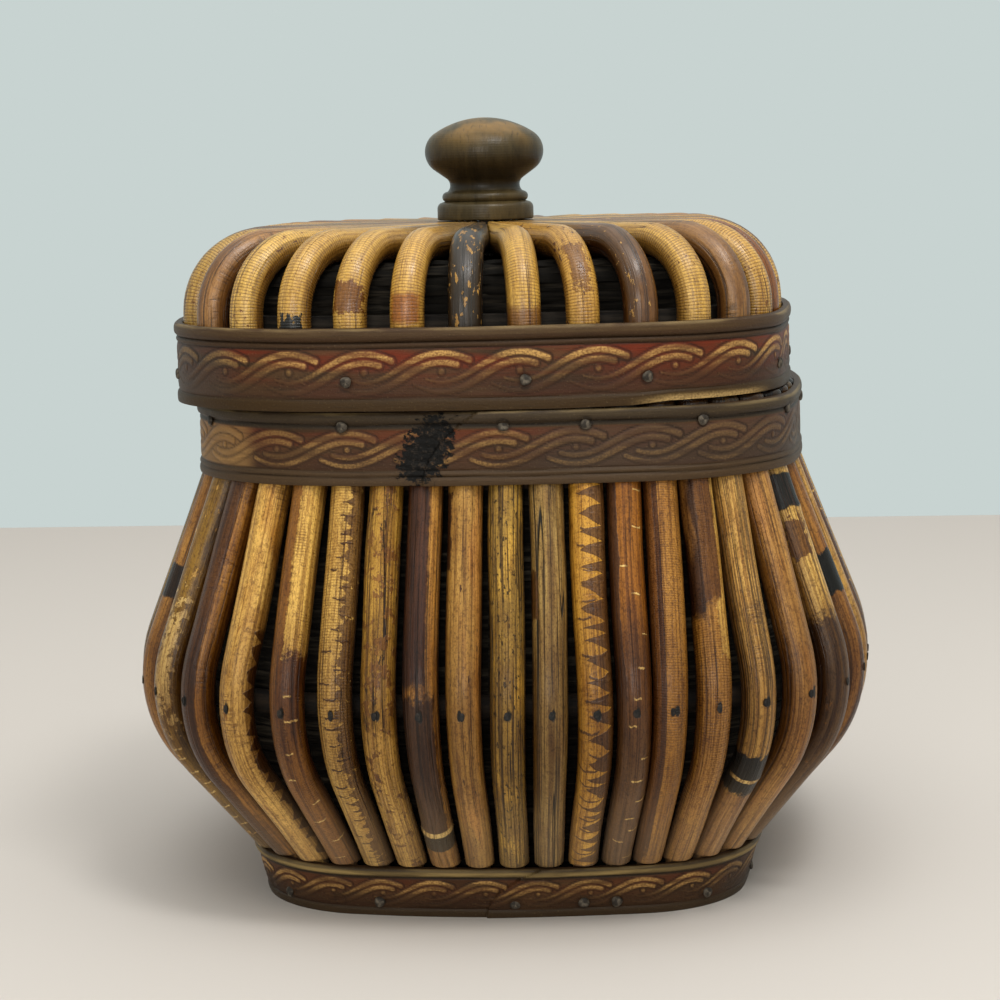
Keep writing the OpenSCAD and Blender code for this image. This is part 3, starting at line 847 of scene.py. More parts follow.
PORTRAITS = {
    -9: (TAN, cane_b), -8: (OLIVE, cane_c), -7: ("#a67c3e", cane_d), -6: ("#dfc07c", cane_e),
    -5: ("#8a6230", cane_f), -4: ("#d2b674", cane_g), -3: ("#b4954e", cane_h), -2: ("#b48c50", cane_i),
    -1: ("#b09058", cane_j), 0: ("#9c8448", cane_k), 1: ("#a08c62", cane_l), 2: ("#c8a04e", cane_m),
    3: ("#704c28", cane_n), 4: ("#aa8244", cane_o), 5: ("#b28a4a", cane_p), 6: ("#c8a86c", cane_q),
    7: ("#b08c58", cane_r), 8: ("#6c5438", cane_s), 9: ("#a57c46", cane_t),
}
BODY_COMMON = COMMON + tuple(PORTRAITS[n] for n in (-8, -6, -5, -4, -2, 0, 1, 2, 3, 5, 6, 8))
KNUCKLES = {-2: (114.0,), 6: (96.5,), 8: (31.5,)}


def lid_charcoal(c):
    c.cloud("#37281a", 0.4)
    c.flecks("#a98a52", 0.45, 1.3, 2.2)
    c.grain(BLACK, 0.4)


def lid_dark_speckled(c):
    c.cloud("#59422a", 0.5)
    c.flecks("#b99a60", 0.3, 1.6, 2.2)
    c.grain(DARK, 0.4)


RING_BROWN = "#6f4c1c"


def ringed(patch, grain=0.2, flecks=0.0):
    """Gives the look of a pale lid cane with fine rings and one patch."""
    def layers(c):
        c.rings(RING_BROWN, 0.9)
        c.patch(*patch)
        if flecks:
            c.flecks("#6a4520", flecks, 2.0, 4.0)
        c.grain(UMBER, grain)
    return layers


lid_half_brown = ringed(("#856234", 0.0, 82, 14.0, 8.0, 0.7, 0.2), 0.3)
lid_low_patch = ringed(("#8a6632", -1.0, 68, 2.4, 5.0, 2.2), flecks=0.3)
lid_mottled = ringed(("#7c5628", 0.8, 74, 4.5, 3.0, 2.2), flecks=0.2)
lid_black_foot = ringed((BLACK, 1.6, 88, 2.8, 6.0, 1.6))


def lid_banded(c):
    c.patch("#a06a2e", 0.3, 74, 4.2, 3.2, 0.9, 0.3)
    c.rings(RING_BROWN, 0.9)
    c.grain(UMBER, 0.2)


def lid_brown(c):
    c.cloud("#70502f", 0.5)
    c.grain(DARK, 0.45)
    c.lines(DARK, 0.4)


LID_COMMON = (
    (GOLD, golden_lined), (GOLD, golden_lined), ("#b98a3c", lid_half_brown), ("#83552c", lid_brown),
    ("#6a4526", lid_dark_speckled), (HONEY, streaked), ("#cda452", golden_lined),
)
LID_PORTRAITS = {
    -6: ("#b39a5e", golden_lined), -5: ("#a07c52", lid_brown), -4: ("#d6ba72", golden_lined),
    -3: ("#ceb06a", lid_black_foot), -2: ("#ceb068", lid_mottled), -1: ("#d2b268", lid_banded),
    0: ("#2c231a", lid_charcoal), 1: ("#ceb066", lid_half_brown), 2: ("#caa860", lid_low_patch),
    3: ("#6c4c26", lid_dark_speckled), 4: ("#ceb068", golden_lined), 5: ("#96754c", lid_brown),
    6: ("#ccac66", golden_lined),
}
LID_SEED = 90
SEED_STEP = 7.3
KNOB_SHADE_SHARE = 0.6


def cane_material(name, number, portraits, common, seed, brad):
    """Skin of one cane: its own look where the front shows it, and elsewhere one of a shuffled set."""
    dice = random.Random(name)
    stack, place = divmod(seed, len(common))
    shuffled = random.Random(stack).sample(common, len(common))
    base, layers = portraits.get(number) or shuffled[place]
    cane = Cane(name, base, SEED_STEP * seed)
    layers(cane)
    # Most lid canes get a painted grey shade near the knob, and every body cane has a hole for its brad
    if not brad and dice.random() < KNOB_SHADE_SHARE:
        cane.patch("#8b7654", 0.0, 18.0, 14.0, 24.0, 0.5, 0.4, 0.0)
    # The hole is a black oval painted on the skin: painted shade of a recess that the mesh does not cut
    if brad:
        cane.hole(BLACK, dice.uniform(-0.7, 0.7), BRAD_Y, 0.5, 1.0)
    shine, age, belly_shade_and_pale_foot = (0.3, 1.0, 0.5) if brad else (0.55, 0.6, 0.0)
    return cane.finish(dice.uniform(0.25, 0.34), shine, age, belly_shade_and_pale_foot)


def cane_groups(per_side, in_corner):
    """Gives each cane from the front's left end on: its count, its number and its group.

    Both are 0 in the middle of the front. The count goes on all round, and the number is below 0 on the left.
    """
    face, count = per_side - in_corner, 4 * per_side
    for n in range(count):
        turn, place = divmod(n, per_side)
        k = n - face // 2
        number = k if k < count / 2 else k - count
        yield k, number, SIDES[turn] if place < face else CORNERS[turn]


def canes():
    for k, number, group in cane_groups(CANES_PER_SIDE, CORNER_CANES):
        name = f"cane_skin_{k % CANE_COUNT:02d}"
        material = cane_material(name, number, PORTRAITS, BODY_COMMON, k, True)
        body_cane(k, material, f"{group}_canes", KNUCKLES.get(number, ()))
    for k, number, group in cane_groups(LID_CANES_PER_SIDE, LID_CORNER_CANES):
        name = f"lid_cane_skin_{k % LID_CANE_COUNT:02d}"
        material = cane_material(name, number, LID_PORTRAITS, LID_COMMON, LID_SEED + k, False)
        lid_cane(k, material, f"lid_{group}_canes")


canes()


# Embossed strips
STRIP_STEP = 0.37
STRIP_CUTS = 8
BACK_LEVELS = 6
RIM_BEAD = 0.7
LAP_T = 0.9
LAP_REACH = 45.0
LAP_SLANT = 14.0
LID_HANG = 1.1
HANG_START = 0.1
HANG_END = 0.36
FIELD_SINK = 0.1
FIELD_EASE = 0.4
SCROLL_RISE = 0.2
SCROLL_PRESS = 0.1
SCROLL_LOW = 0.4
SCROLL_EYE = 0.45
SCROLL_TAPER = 1.8
SCROLL_ROUND = 0.6
SCROLL_LINE = 1.25
SCROLL_LINE_HALF = 0.25
NAIL_DENT = 0.25
NAIL_DENT_R = 1.9
NAIL_RING_R = 1.55
NAIL_RING_HALF = 0.35
GROOVE_WAVE = (0.12, 7)
RIM_WAVE = (0.15, 17)
BUCKLES = ((0.12, 11, 5), (0.1, 23, -7))
STRANDS = ((0.5, -1.2, 0.36), (-0.5, -1.36, 0.2))


def ripple(s, size, length):
    return size * np.sin(s / length)


def scroll(x, y, pitch, swing, gap, width, tail):
    """Running scroll of tapered double S curves round eyes.

    Gives how raised it is, and the line pressed round it.
    """
    cell = np.floor(x / pitch)
    near = np.hypot(x - np.round(x / pitch) * pitch, y) / (SCROLL_EYE * width)
    for step in range(3):
        local = x - (cell + step) * pitch
        for strand, first, last in STRANDS:
            t = np.clip(local / pitch, first, last)
            phase = math.pi * (t + 1)
            slope = swing * math.pi / pitch * np.sin(phase)
            across = (y + swing * np.cos(phase)) / np.sqrt(1 + slope * slope) - strand * gap
            thin = np.clip(tail + (1 - tail) * SCROLL_TAPER * (t - first) / (last - first), tail, 1)
            near = np.minimum(near, np.hypot(across, local - t * pitch) / (thin * width / 2))
    raised = np.clip(1 - near * near, 0, 1) ** SCROLL_ROUND
    return raised, bell((near - SCROLL_LINE) / SCROLL_LINE_HALF)


def strip(name, node, body, low, high, z, h, joint, beads, grooves, field, design, nails,
          shift=0.0, hang=0.0, **finish):
    """A strip round the plan with a rolled rim, pressed lines and a scroll, whose ends lap at the joint.

    Low and high are the offsets of its edges. A bead is two depths below the upper edge and a rise, a groove
    is a depth, a width and how far it is pressed in, and a nail is a walk and a depth. The field is where the
    scroll is, and the design is the scroll's pitch, swing, gap, width and tail. The lower edge hangs lower
    all round, but for the side that the shift brings close to the canes.
    """
    length = plan_length((low + high) / 2)
    cols = int(length / STRIP_STEP)
    across = centred(cols, length)
    walk = across[:-1]
    heading = plan_heading(walk, (low + high) / 2)
    free = np.clip((HANG_END - np.sin(heading)) / (HANG_END - HANG_START), 0, 1)

    def face(depth, out, lift):
        sag = hang * free * np.clip(2 * depth / h - 1, 0, 1)
        return at(plan_point(heading, high + (low - high) * depth / h + out), z + h - depth + lift - sag)

    down = np.linspace(0, h, int(h / STRIP_STEP) + 1)
    s, w = np.meshgrid(walk, down)
    top, bottom = field
    inside = np.clip((w - top) / FIELD_EASE, 0, 1) * np.clip((bottom - w) / FIELD_EASE, 0, 1)
    lap_edge = joint + LAP_SLANT * (1 - w / h) ** 2
    over = s >= lap_edge
    pitch, *sizes = design
    whole_pitch = length / round(length / pitch)
    x = s - joint + np.where(over, 0, length)
    raised, pressed = scroll(x, (top + bottom) / 2 - w, whole_pitch, *sizes)
    raised, pressed = raised * inside, pressed * inside
    kept = SCROLL_LOW + (1 - SCROLL_LOW) * np.clip((bottom - w) / (bottom - top), 0, 1)
    height = (SCROLL_RISE * raised - SCROLL_PRESS * pressed) * kept - FIELD_SINK * inside
    for first, last, rise in beads:
        t = np.clip((w - first) / (last - first), 0, 1)
        height += rise * np.sqrt(np.clip(4 * t * (1 - t), 0, 1))
    for place, wide, press in grooves:
        dip = bell((w - place - ripple(s, *GROOVE_WAVE)) / wide)
        height -= press * dip
        pressed = np.maximum(pressed, dip)
    gone = np.clip((s - lap_edge) / LAP_REACH, 0, 1)
    height += np.where(over, LAP_T * (1 - gone) ** 2, 0)
    height += sum(size * np.sin(s / long + w / tall) for size, long, tall in BUCKLES)
    for nail_walk, nail_depth in nails:
        away = np.hypot((s - nail_walk + length / 2) % length - length / 2, w - nail_depth)
        height -= NAIL_DENT * bell(away / NAIL_DENT_R)
        pressed = np.maximum(pressed, bell((away - NAIL_RING_R) / NAIL_RING_HALF))
    up = np.linspace(h, 0, BACK_LEVELS)
    back = np.repeat(up[:, None], cols, 1)
    lift = ripple(s, *RIM_WAVE) * (1 - w / h)
    points = np.concatenate([face(w, height, lift), face(back, -STRIP_T, 0)])
    points[..., 0] += shift
    along = np.concatenate([down, 2 * h + STRIP_T - up, [2 * h + 2 * STRIP_T]])
    values = {"raised": np.concatenate([raised, 0 * back]), "pressed": np.concatenate([pressed, 0 * back])}
    shape = Shape()
    shape.grid(points, along, across, wrap=True, strips=STRIP_CUTS, **values)
    return shape.build(name, strip_material(name, h, field, **finish), body, "strip", node)


DULL = "#42352a"


def strip_material(name, h, field, red, gold, rim, foot, crest, washes, stain=None, lip=None, seed=0.0):
    """Pressed brown strip with a red ground and gold rubbed on what stands up.

    Gold is the share of rubbing at the top and at the bottom of the field, and crest the share of painted
    highlight along the top of the rim's rolled bead.
    Each wash is a place along the strip, a reach, a share and a tone. The stain has a place and half sizes,
    and the pale lip a place and a reach.
    """
    g = Graph(name)
    x, y, place = g.skin(seed)
    broad = g.noise(place, (0.035, 0.12, 1.0), 3.0)
    streak = g.noise(place, (0.12, 2.2, 1.0), 3.0, 0.6)
    flush = g.noise(place, (0.03, 0.3, 4.0))
    wear_and_sheen = g.noise(place, (0.045, 0.35, 7.0), 3.0)
    grit = g.noise(place, (1.6, 1.9, 2.0), 3.0, 0.65)
    raised, pressed = g.value("raised"), g.value("pressed")
    top, bottom = field
    inside = y.step(top - 0.3, top + 0.4) * y.step(bottom + 0.3, bottom - 0.4)
    upper = y.step(bottom - 1.0, top + 1.5)
    colour = g.mix(broad.step(0.35, 0.65), "#3c2817", "#523a22")
    colour = g.mix(y.step(top + 0.3, top - 0.5), colour, rim)
    colour = g.mix(y.step(bottom - 0.3, bottom + 0.5), colour, foot)
    colour = g.mix(flush.step(0.3, 0.62) * red * (upper * 0.7 + 0.3) * inside, colour, "#662611")
    colour = g.mix((1.0 - upper) * inside * 0.5, colour, "#2c1e14")
    colour = g.mix(raised * (upper * 0.3 + 0.1), colour, "#644a2c")
    rubbed = upper * upper * (gold[0] - gold[1]) + gold[1]
    rubbed *= wear_and_sheen.step(0.4, 0.6) * 0.85 + 0.15
    rubbed *= raised.step(0.3, 0.9) * (grit.step(0.38, 0.6) * 0.7 + 0.3)
    colour = g.mix(rubbed, colour, "#c09656")
    for middle, reach, share, tone in washes:
        colour = g.mix(abs(x - middle).step(reach, 0.7 * reach) * inside * share, colour, tone)
    # Painted highlight along the top edge of the rim, broken up by the wear pattern
    colour = g.mix(y.step(1.1, 0.2) * wear_and_sheen.step(0.4, 0.6) * 0.4, colour, "#9a8458")
    # Painted highlight along the top of the rolled bead, as strong as the crest share
    rim_top_highlight = abs(y - 1.4).step(0.9, 0.2) * (wear_and_sheen.step(0.35, 0.6) * 0.6 + 0.4)
    colour = g.mix(rim_top_highlight * crest, colour, "#a48c58")
    if lip:
        middle, reach = lip
        pale = abs(x - middle).step(reach, 0.4 * reach) * y.step(bottom + 0.8, bottom + 2.6)
        colour = g.mix(pale * (grit.step(0.35, 0.6) * 0.5 + 0.4), colour, "#bf9f66")
    colour = g.mix(pressed * (upper * 0.35 + 0.4), colour, "#120c07")
    colour = g.mix(streak.step(0.5, 0.75) * 0.35, colour, "#1d140c")
    colour = g.mix(grit.step(0.58, 0.75) * 0.3, colour, "#7d6a48")
    height = grit * 0.8 + streak * 0.6
    if stain:
        stain_x, stain_y, half_x, half_y = stain
        far_x = (x - stain_x + (y - stain_y) * 0.35) / half_x
        far_y = (y - stain_y) / half_y
        crumbs = g.noise(place, (0.45, 0.5, 5.0), 5.0, 0.75) - 0.5
        burnt = (far_x * far_x + far_y * far_y + crumbs * 5.0).step(1.0, 0.8)
        colour = g.mix(burnt, colour, g.mix(crumbs.step(0.0, 0.16), "#0d0b09", "#3a322a"))
        height += burnt * crumbs * 6.0
    colour = g.mix(y.step(h + 0.2, h + 0.6), colour, "#3a2a1c")
    return g.finish(colour, height, 0.16, rough=0.48, shine=0.15)


NECK_NAIL_HEADINGS = [cane_heading(k, NECK_OFF) for k in NECK_NAILS]
BASE_NAIL_HEADINGS = [cane_heading(k, FOOT_OFF) for k in BASE_NAILS]
LID_NAIL_HEADINGS = [lid_cane_heading(k) for k in LID_NAILS]


def strips():
    strip(
        "lid_strip", "lid_band", "lid", LID_OFF, LID_OFF, LID_Z, LID_H, joint=260.0,
        beads=((0, 3.2, RIM_BEAD), (3.5, 4.7, 0.2), (16.4, 19.2, 0.25)),
        grooves=((3.35, 0.3, 0.3), (4.85, 0.25, 0.25), (16.3, 0.35, 0.3)),
        field=(4.9, 16.2), design=(19.2, 3.3, 2.2, 1.9, 0.3),
        nails=[(plan_walk(heading, LID_OFF), LID_Z + LID_H - LID_NAIL_Z) for heading in LID_NAIL_HEADINGS],
        shift=LID_SHIFT, hang=LID_HANG, red=1.0, gold=(1.15, 0.0), rim="#3f2c1a", foot="#37260f", crest=0.06,
        washes=((-92.0, 36.0, 0.75, DULL),), lip=(62.0, 24.0), seed=3.0,
    )
    strip(
        "neck_strip", "neck_band", "body", 0.0, 0.0, NECK_Z, NECK_H, joint=-15.0,
        beads=((0, 3.0, RIM_BEAD), (14.6, 15.9, 0.3), (15.9, 18.2, 0.4)),
        grooves=((3.2, 0.3, 0.25), (14.4, 0.3, 0.3), (15.9, 0.25, 0.3)),
        field=(4.2, 14.2), design=(19.0, 3.0, 2.1, 1.8, 0.7),
        nails=[(plan_walk(heading, 0.0), NECK_Z + NECK_H - NECK_NAIL_Z) for heading in NECK_NAIL_HEADINGS],
        red=0.5, gold=(0.3, 0.4), rim="#34291c", foot="#443320", crest=0.04,
        washes=((66.0, 62.0, 0.6, DULL), (-78.0, 20.0, 0.5, "#a37d4a")),
        stain=(-14.0, 9.5, 6.2, 9.0), seed=11.0,
    )
    strip(
        "base_strip", "base_band", "body", BASE_OFF, BASE_OFF + BASE_LEAN, 0.0, BASE_H, joint=-3.0,
        beads=((0, 2.5, RIM_BEAD), (11.4, 13.6, 0.2)), grooves=((2.7, 0.3, 0.35), (11.3, 0.3, 0.25)),
        field=(2.9, 11.2), design=(13.2, 2.4, 1.7, 1.45, 0.25),
        nails=[(plan_walk(heading, BASE_OFF), BASE_H - BASE_NAIL_Z) for heading in BASE_NAIL_HEADINGS],
        red=0.3, gold=(1.0, 0.0), rim="#3c3020", foot="#3b2d1d", crest=0.75,
        washes=((80.0, 22.0, 0.5, DULL),), seed=19.0,
    )


strips()


# Woven linings
STRAND_OUT = 0.8
STRAND_UP = 1.45
STRAND_AROUND = 6
STRAND_MAP = 1.1
STRAND_APART = 40.0
ROW_MAP = 2.0
WEAVE = 0.34
ROW_PITCH = 2.35
ROW_COLS = 260
FLAT_INSET = 2.0


def woven_row(shape, centre, out, up, number):
    """One strand round the plan, in and out of the stakes."""
    wave = WEAVE * np.cos(CANE_COUNT / 2 * circle(ROW_COLS) + number * math.pi)
    angle = circle(STRAND_AROUND)[:, None]
    ring = STRAND_OUT * np.cos(angle) * out[:, None] - STRAND_UP * np.sin(angle) * up[:, None]
    points = (centre + wave[:, None] * out)[:, None] + ring
    across = np.arange(STRAND_AROUND + 1) * STRAND_MAP + STRAND_APART * number
    shape.grid(points, np.arange(ROW_COLS + 1) * ROW_MAP, across, wrap=True)


def round_headings(off):
    return plan_heading(np.arange(ROW_COLS) / ROW_COLS * plan_length(off), off)


def lining(name, levels, flat_end, flat_z, inner_scale, body, node, material, shift=0.0):
    """A woven wall round the plan, with a woven floor or top drawn in to the middle.

    The wall's levels are offsets and heights, and the flat part is inside the one at the flat end.
    """
    shape = Shape()
    stops = walked(levels)
    rows = points_at(np.arange(ROW_PITCH / 2, stops[-1], ROW_PITCH), stops, levels)
    ways = unit(np.gradient(rows, axis=0))
    for number, ((off, z), (outward, upward)) in enumerate(zip(rows, ways)):
        off = off - LINER_T / 2 * upward
        heading = round_headings(off)
        centre = at(plan_point(heading, off) + [shift, 0], z)
        face = look(heading)
        woven_row(shape, centre, at(face * upward, -outward), at(face * outward, upward), number)
    flat_off = levels[flat_end][0] - FLAT_INSET
    rim = plan_point(round_headings(flat_off), flat_off)
    rings = int(np.linalg.norm(rim, axis=1).mean() * (1 - inner_scale) / ROW_PITCH)
    out, inward = at(0 * rim, 1.0), at(-unit(rim), 0)
    for number, scale in enumerate(np.linspace(1, inner_scale, rings + 1), len(rows)):
        woven_row(shape, at(rim * scale + [shift, 0], flat_z), out, inward, number)
    return shape.build(name, material, body, "liner", node)


def liner_material(name, dark, pale):
    g = Graph(name)
    _, _, place = g.skin()
    tone = g.noise(place, (0.9, 0.05, 1.0), 3.0, 0.6)
    slow = g.noise(place, (0.024, 0.03, 1.0))
    colour = g.mix(tone.step(0.42, 0.75) * slow.step(0.3, 0.7), dark, pale)
    return g.finish(colour, tone, 0.2, rough=0.8, shine=0.08)


def linings():
    material = liner_material("basket_weave", "#14110e", "#4e473b")
    flat_z = BASKET_LEVELS[0][1] + LINER_T / 2
    lining("basket_weave", BASKET_LEVELS, 0, flat_z, 0.03, "body", "inner_basket", material)
    material = liner_material("lid_weave", "#110f0c", "#3a342b")
    turns = np.radians([48, 60, 70, 80])
    bend = np.stack([LID_LINER_BEND_OFF + LID_LINER_BEND_R * np.cos(turns),
                     LID_LINER_BEND_Z + LID_LINER_BEND_R * np.sin(turns)], -1)
    levels = [(LID_LINER_OFF, LID_LINER_Z), *bend]
    flat_z = LID_LINER_BEND_Z + LID_LINER_BEND_R - LINER_T / 2
    lining("lid_weave", levels, -1, flat_z, 0.06, "lid", "lid_liner", material, LID_SHIFT)


linings()


# Nails, brads and the knob
def lathe(profile, count):
    """Rings of a turned shape about Z, from radii and heights."""
    angle = circle(count)
    r, z = np.array(profile).T[..., None]
    return np.stack(np.broadcast_arrays(r * np.cos(angle), r * np.sin(angle), z), -1)


NAIL = ((0.7, -1.6), (0.72, -0.3), (1.34, -0.12), (1.42, 0.1), (1.3, 0.36), (0.98, 0.56), (0.5, 0.66))
BRAD = ((0.6, -3.0), (0.62, -0.2), (0.66, 0.04), (0.54, 0.12), (0.28, 0.04))
BRAD_STRETCH = 1.6
HEAD_AROUND = 14
HEAD_LOBES = 0.07
HEAD_ASKEW = 0.12
HEAD_MAP = 0.6
HEADS_APART = 20.0
HEAD_PROUD = 0.02


def heads(name, headings, off, z, profile, body, node, material, stretch=1.0, shift=0.0):
    """A row of nail heads round the plan, each a little uneven and askew."""
    dice = random.Random(name)
    shape = Shape()
    for n, heading in enumerate(headings):
        rings = lathe(profile, HEAD_AROUND) * [1, stretch, 1]
        lobes = 1 + HEAD_LOBES * np.sin(3 * circle(HEAD_AROUND) + dice.uniform(0, 6))
        rings[..., :2] *= lobes[:, None]
        rings[..., 2] += rings[..., :2] @ [dice.uniform(-HEAD_ASKEW, HEAD_ASKEW) for _ in range(2)]
        axes = np.stack([at(look(heading + HALF_PI), 0), (0, 0, 1), at(look(heading), 0)])
        points = rings @ axes + at(plan_point(heading, off) + [shift, 0], z)
        across = np.arange(HEAD_AROUND + 1) * HEAD_MAP + HEADS_APART * n
        shape.grid(points, np.arange(len(profile)) * HEAD_MAP, across, caps=True)
    return shape.build(name, material, body, "nail", node)


def iron_material(name, dark, pale, metallic):
    g = Graph(name)
    _, _, place = g.skin()
    patchy = g.noise(place, (0.35, 0.35, 1.0))
    colour = g.mix(patchy.step(0.4, 0.7), dark, pale)
    return g.finish(colour, patchy, 0.1, 0.65, 0.3, metallic)


def fasteners():
    iron = iron_material("nail_iron", "#29231c", "#6c6355", 0.1)
    hole = iron_material("brad_iron", "#0c0a08", "#2a241e", 0.0)
    heads("neck_nail_heads", NECK_NAIL_HEADINGS, HEAD_PROUD, NECK_NAIL_Z, NAIL, "body", "neck_nails", iron)
    base_off = BASE_OFF + BASE_LEAN / BASE_H * BASE_NAIL_Z
    heads("base_nail_heads", BASE_NAIL_HEADINGS, base_off, BASE_NAIL_Z, NAIL, "body", "base_nails", iron)
    lid_off = LID_OFF + HEAD_PROUD
    heads("lid_nail_heads", LID_NAIL_HEADINGS, lid_off, LID_NAIL_Z, NAIL, "lid", "lid_nails", iron,
          shift=LID_SHIFT)
    brads = [cane_heading(k, NECK_OFF, BELLY_CROWD) for k in range(CANE_COUNT)]
    heads("belly_brad_heads", brads, BELLY_OFF + CANE_R, BELLY_Z, BRAD, "body", "belly_brads", hole,
          stretch=BRAD_STRETCH)


fasteners()


def arc(x, z, r, first, last, steps):
    return [(x + r * math.cos(a), z + r * math.sin(a)) for a in np.radians(np.linspace(first, last, steps))]


def knob():
    """Turned knob: a foot, a bead, a hollow waist and a flattened ball, with faint marks of the turning."""
    foot_r, foot_h, foot_edge, edge_r = 13.0, 4.8, 0.5, 1.7
    bead_r, bead_h = 11.6, 2.75
    waist_r, hollow_r, waist_z = 9.4, 2.3, 9.3
    half, side_r, cap_r, height = 16.0, 6.0, 24.0, 27.3
    side_x = half - side_r
    side_z = height - cap_r + math.sqrt((cap_r - side_r) ** 2 - side_x ** 2)
    cap_angle = math.degrees(math.atan2(side_z - height + cap_r, side_x))
    profile = [(2.0, 0.0), (8.0, 0.0), (12.4, 0.0)]
    profile += arc(foot_r - foot_edge, foot_edge, foot_edge, -80, 0, 4)
    profile += arc(foot_r - edge_r, foot_h - edge_r, edge_r, 0, 70, 6)
    profile += arc(bead_r - bead_h / 2, foot_h + bead_h / 2, bead_h / 2, -60, 65, 9)
    waist = len(profile) + 4
    profile += arc(waist_r + hollow_r, waist_z, hollow_r, 225, 128, 9)
    profile += arc(side_x, side_z, side_r, -52, cap_angle, 20)
    profile += arc(0.0, height - cap_r, cap_r, cap_angle + 3, 88, 14)
    around = 72
    along = walked(profile)
    shape = Shape()
    rings = lathe(profile, around) + [LID_SHIFT, 0, KNOB_Z]
    shape.grid(rings, along, centred(around, FULL_TURN * half), caps=True)
    material = knob_material(along[waist], along[-1])
    shape.build("turned_knob", material, "lid", "knob", "knob", crease=60)


def knob_material(waist, end):
    """Turned wood, rubbed bright on top, with dirt in the waist and painted shade from the waist to under the
    ball.
    """
    g = Graph("knob_wood")
    _, y, _ = g.skin()
    solid = g.place()
    grain = g.noise(solid, (420, 60, 90), 4.0, 0.65)
    pores = g.noise(solid, (1500, 260, 300), 2.0, 0.6)
    blotch = g.noise(solid, (70, 70, 70), 3.0)
    top = y.step(end - 20.0, end - 9.0)
    colour = g.mix(grain.step(0.3, 0.7), "#362e1c", "#4b4028")
    colour = g.mix(blotch.step(0.36, 0.6) * (top * 0.85 + 0.06), colour, "#84642f")
    colour = g.mix(pores.step(0.55, 0.72) * 0.4, colour, "#1d170e")
    # Dirt in the waist and painted shade under the ball
    waist_grime_and_shade = y.step(waist - 3.0, waist) * y.step(end - 15.0, waist + 6.0)
    colour = g.mix(waist_grime_and_shade * 0.75, colour, "#171007")
    height = g.math("SINE", y * 9.0) * 0.05 + grain * 0.4 - pores * 0.5
    return g.finish(colour, height, 0.14, rough=0.36, shine=0.22)


knob()


# Pieces of the frame that keep their shape, with their own finish
def wood_material(name, dark, pale, scale, rough):
    g = Graph(name)
    place = g.place()
    grain = g.noise(place, scale, 4.0, 0.6)
    pores = g.noise(place, tuple(4 * v for v in scale))
    colour = g.mix(grain.step(0.35, 0.66), dark, pale)
    colour = g.mix(pores.step(0.55, 0.7) * 0.4, colour, "#20150c")
    return g.finish(colour, grain, 0.2, rough, 0.2)


def carried_nodes():
    for node, name, dark, pale, scale, rough in (
        ("base_board", "board_wood", "#7a5a38", "#a98457", (60, 700, 700), 0.6),
        ("neck_ring", "ring_wood", "#2a1d12", "#513a24", (60, 60, 900), 0.6),
        ("rim_strip", "rim_wood", "#2e2116", "#5b4428", (60, 60, 900), 0.5),
        ("lid_ring", "lid_ring_wood", "#14110e", "#302a23", (60, 60, 900), 0.8),
        ("lid_boss", "boss_wood", "#7a5a38", "#a98457", (60, 700, 700), 0.6),
        ("belly_hoop", "hoop_cane", "#0e0a07", "#221910", (90, 90, 900), 0.8),
        ("knob_screw", "screw_steel", "#5e5a54", "#8d8880", (900, 900, 900), 0.35),
    ):
        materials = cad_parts[node].data.materials
        materials.clear()
        materials.append(wood_material(name, dark, pale, scale, rough))


carried_nodes()


# Camera: where the picture was taken from, worked out from the outline
PICTURE = 1000
FOCAL = 2496.0
SENSOR = 36.0
EYE = np.array([45.7, -678.5, 189.7])
YAW = -0.07
PITCH = 0.134
ROLL = 0.023


def add_object(name, data):
    thing = bpy.data.objects.new(name, data)
    bpy.context.scene.collection.objects.link(thing)
    return thing


def camera():
    right = np.array([math.cos(YAW), -math.sin(YAW), 0.0])
    level = np.array([math.sin(YAW), math.cos(YAW), 0.0])
    ahead = level * math.cos(PITCH) - np.array([0, 0, math.sin(PITCH)])
    up = level * math.sin(PITCH) + np.array([0, 0, math.cos(PITCH)])
    turned = right * math.cos(ROLL) - up * math.sin(ROLL)
    upward = right * math.sin(ROLL) + up * math.cos(ROLL)
    data = bpy.data.cameras.new("camera")
    data.sensor_width = SENSOR
    data.lens = FOCAL / PICTURE * SENSOR
    data.clip_start = 0.01
    lens = add_object("camera", data)
    matrix = np.eye(4)
    matrix[:3] = np.stack([turned, upward, -ahead, EYE * MM], 1)
    lens.matrix_world = Matrix(matrix.tolist())
    bpy.context.scene.camera = lens


camera()
bpy.context.scene.view_settings.view_transform = "Standard"

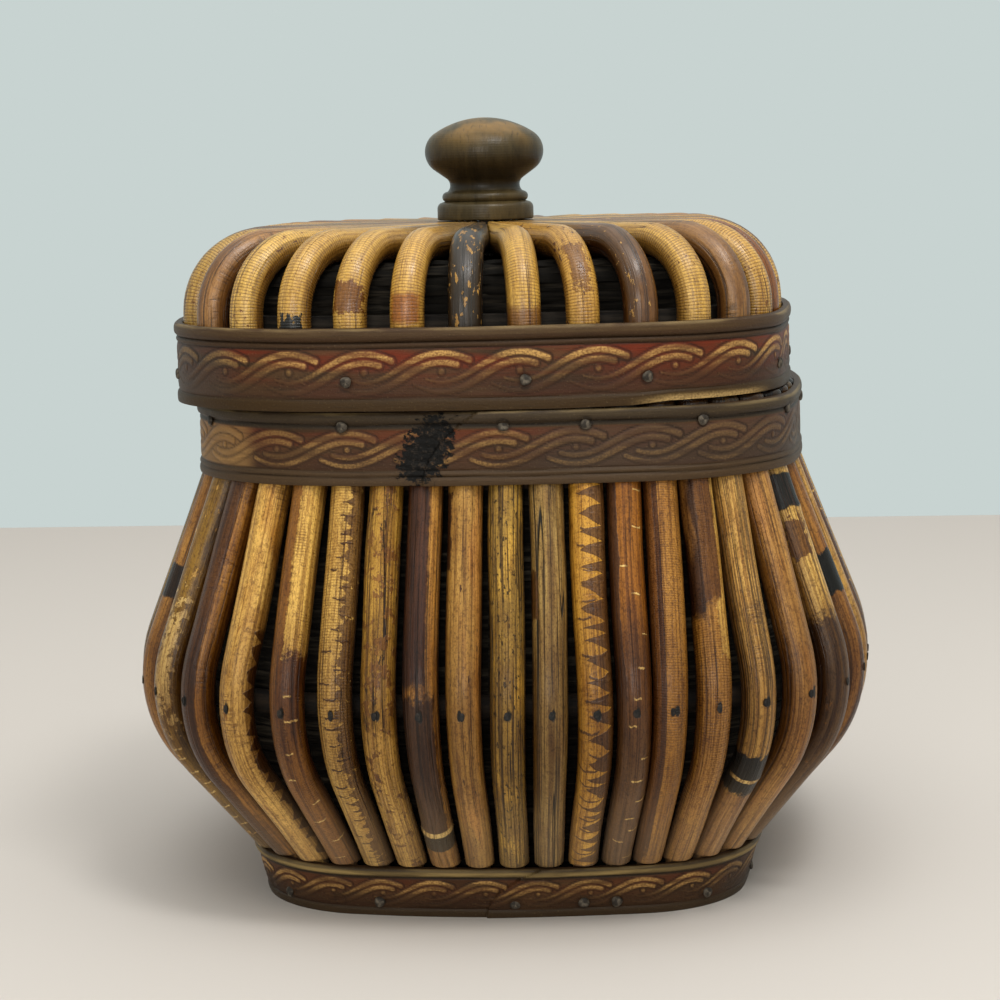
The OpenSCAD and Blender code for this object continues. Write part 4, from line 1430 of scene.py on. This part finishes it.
# Lamps, floor and wall, in metres
LAMPS = {
    "overhead": ((0.05, 0.05, 1.2), (0, 0, 0.1), 1.6, 6, (1.0, 0.98, 0.95)),
    "front": ((0.1, -0.6, 1.25), (0, 0, 0.1), 1.2, 7.5, (1.0, 0.98, 0.95)),
    "key": ((0.4, -0.62, 1.25), (0, 0, 0.1), 0.3, 5.5, (1.0, 0.98, 0.95)),
    "low": ((-0.15, -1.9, 0.5), (0, 0, 0.05), 0.6, 8.5, (1.0, 0.97, 0.93)),
}
WALL_GLOW = 0.58
FLOOR_SIDE = 3.0
FLOOR_FAR = 0.64


def lamps():
    for name, (place, target, size, power, colour) in LAMPS.items():
        data = bpy.data.lights.new(name, "AREA")
        data.size = size
        data.energy = power
        data.color = colour
        light = add_object(name, data)
        light.location = place
        light.rotation_euler = (Vector(target) - Vector(place)).to_track_quat("-Z", "Y").to_euler()


def wall():
    """A pale wall that the camera and gloss see, and a soft light from all round in its place elsewhere."""
    world = bpy.data.worlds.new("studio")
    world.use_nodes = True
    nodes, links = world.node_tree.nodes, world.node_tree.links
    seen, cast = nodes["Background"], nodes.new("ShaderNodeBackground")
    seen.inputs[0].default_value = rgb("#c8d3d1")
    cast.inputs[0].default_value = rgb("#f0ece6")
    cast.inputs[1].default_value = WALL_GLOW
    path, choose = nodes.new("ShaderNodeLightPath"), nodes.new("ShaderNodeMixShader")
    shown = path.outputs["Is Camera Ray"]
    for kind in ("Is Glossy Ray", "Is Transmission Ray"):
        either = nodes.new("ShaderNodeMath")
        either.operation = "MAXIMUM"
        links.new(shown, either.inputs[0])
        links.new(path.outputs[kind], either.inputs[1])
        shown = either.outputs[0]
    for number, output in enumerate((shown, cast.outputs[0], seen.outputs[0])):
        links.new(output, choose.inputs[number])
    links.new(choose.outputs[0], nodes["World Output"].inputs[0])
    bpy.context.scene.world = world


def floor():
    """A pale floor that ends behind the canister, as the table does."""
    mesh = bpy.data.meshes.new("floor")
    corners = ((-1, -FLOOR_SIDE), (1, -FLOOR_SIDE), (1, FLOOR_FAR), (-1, FLOOR_FAR))
    mesh.from_pydata([(x * FLOOR_SIDE, y, 0) for x, y in corners], [], [(0, 1, 2, 3)])
    mesh.materials.append(Graph("floor").finish("#c9c5bf", rough=0.9))
    add_object("floor", mesh)


lamps()
wall()
floor()
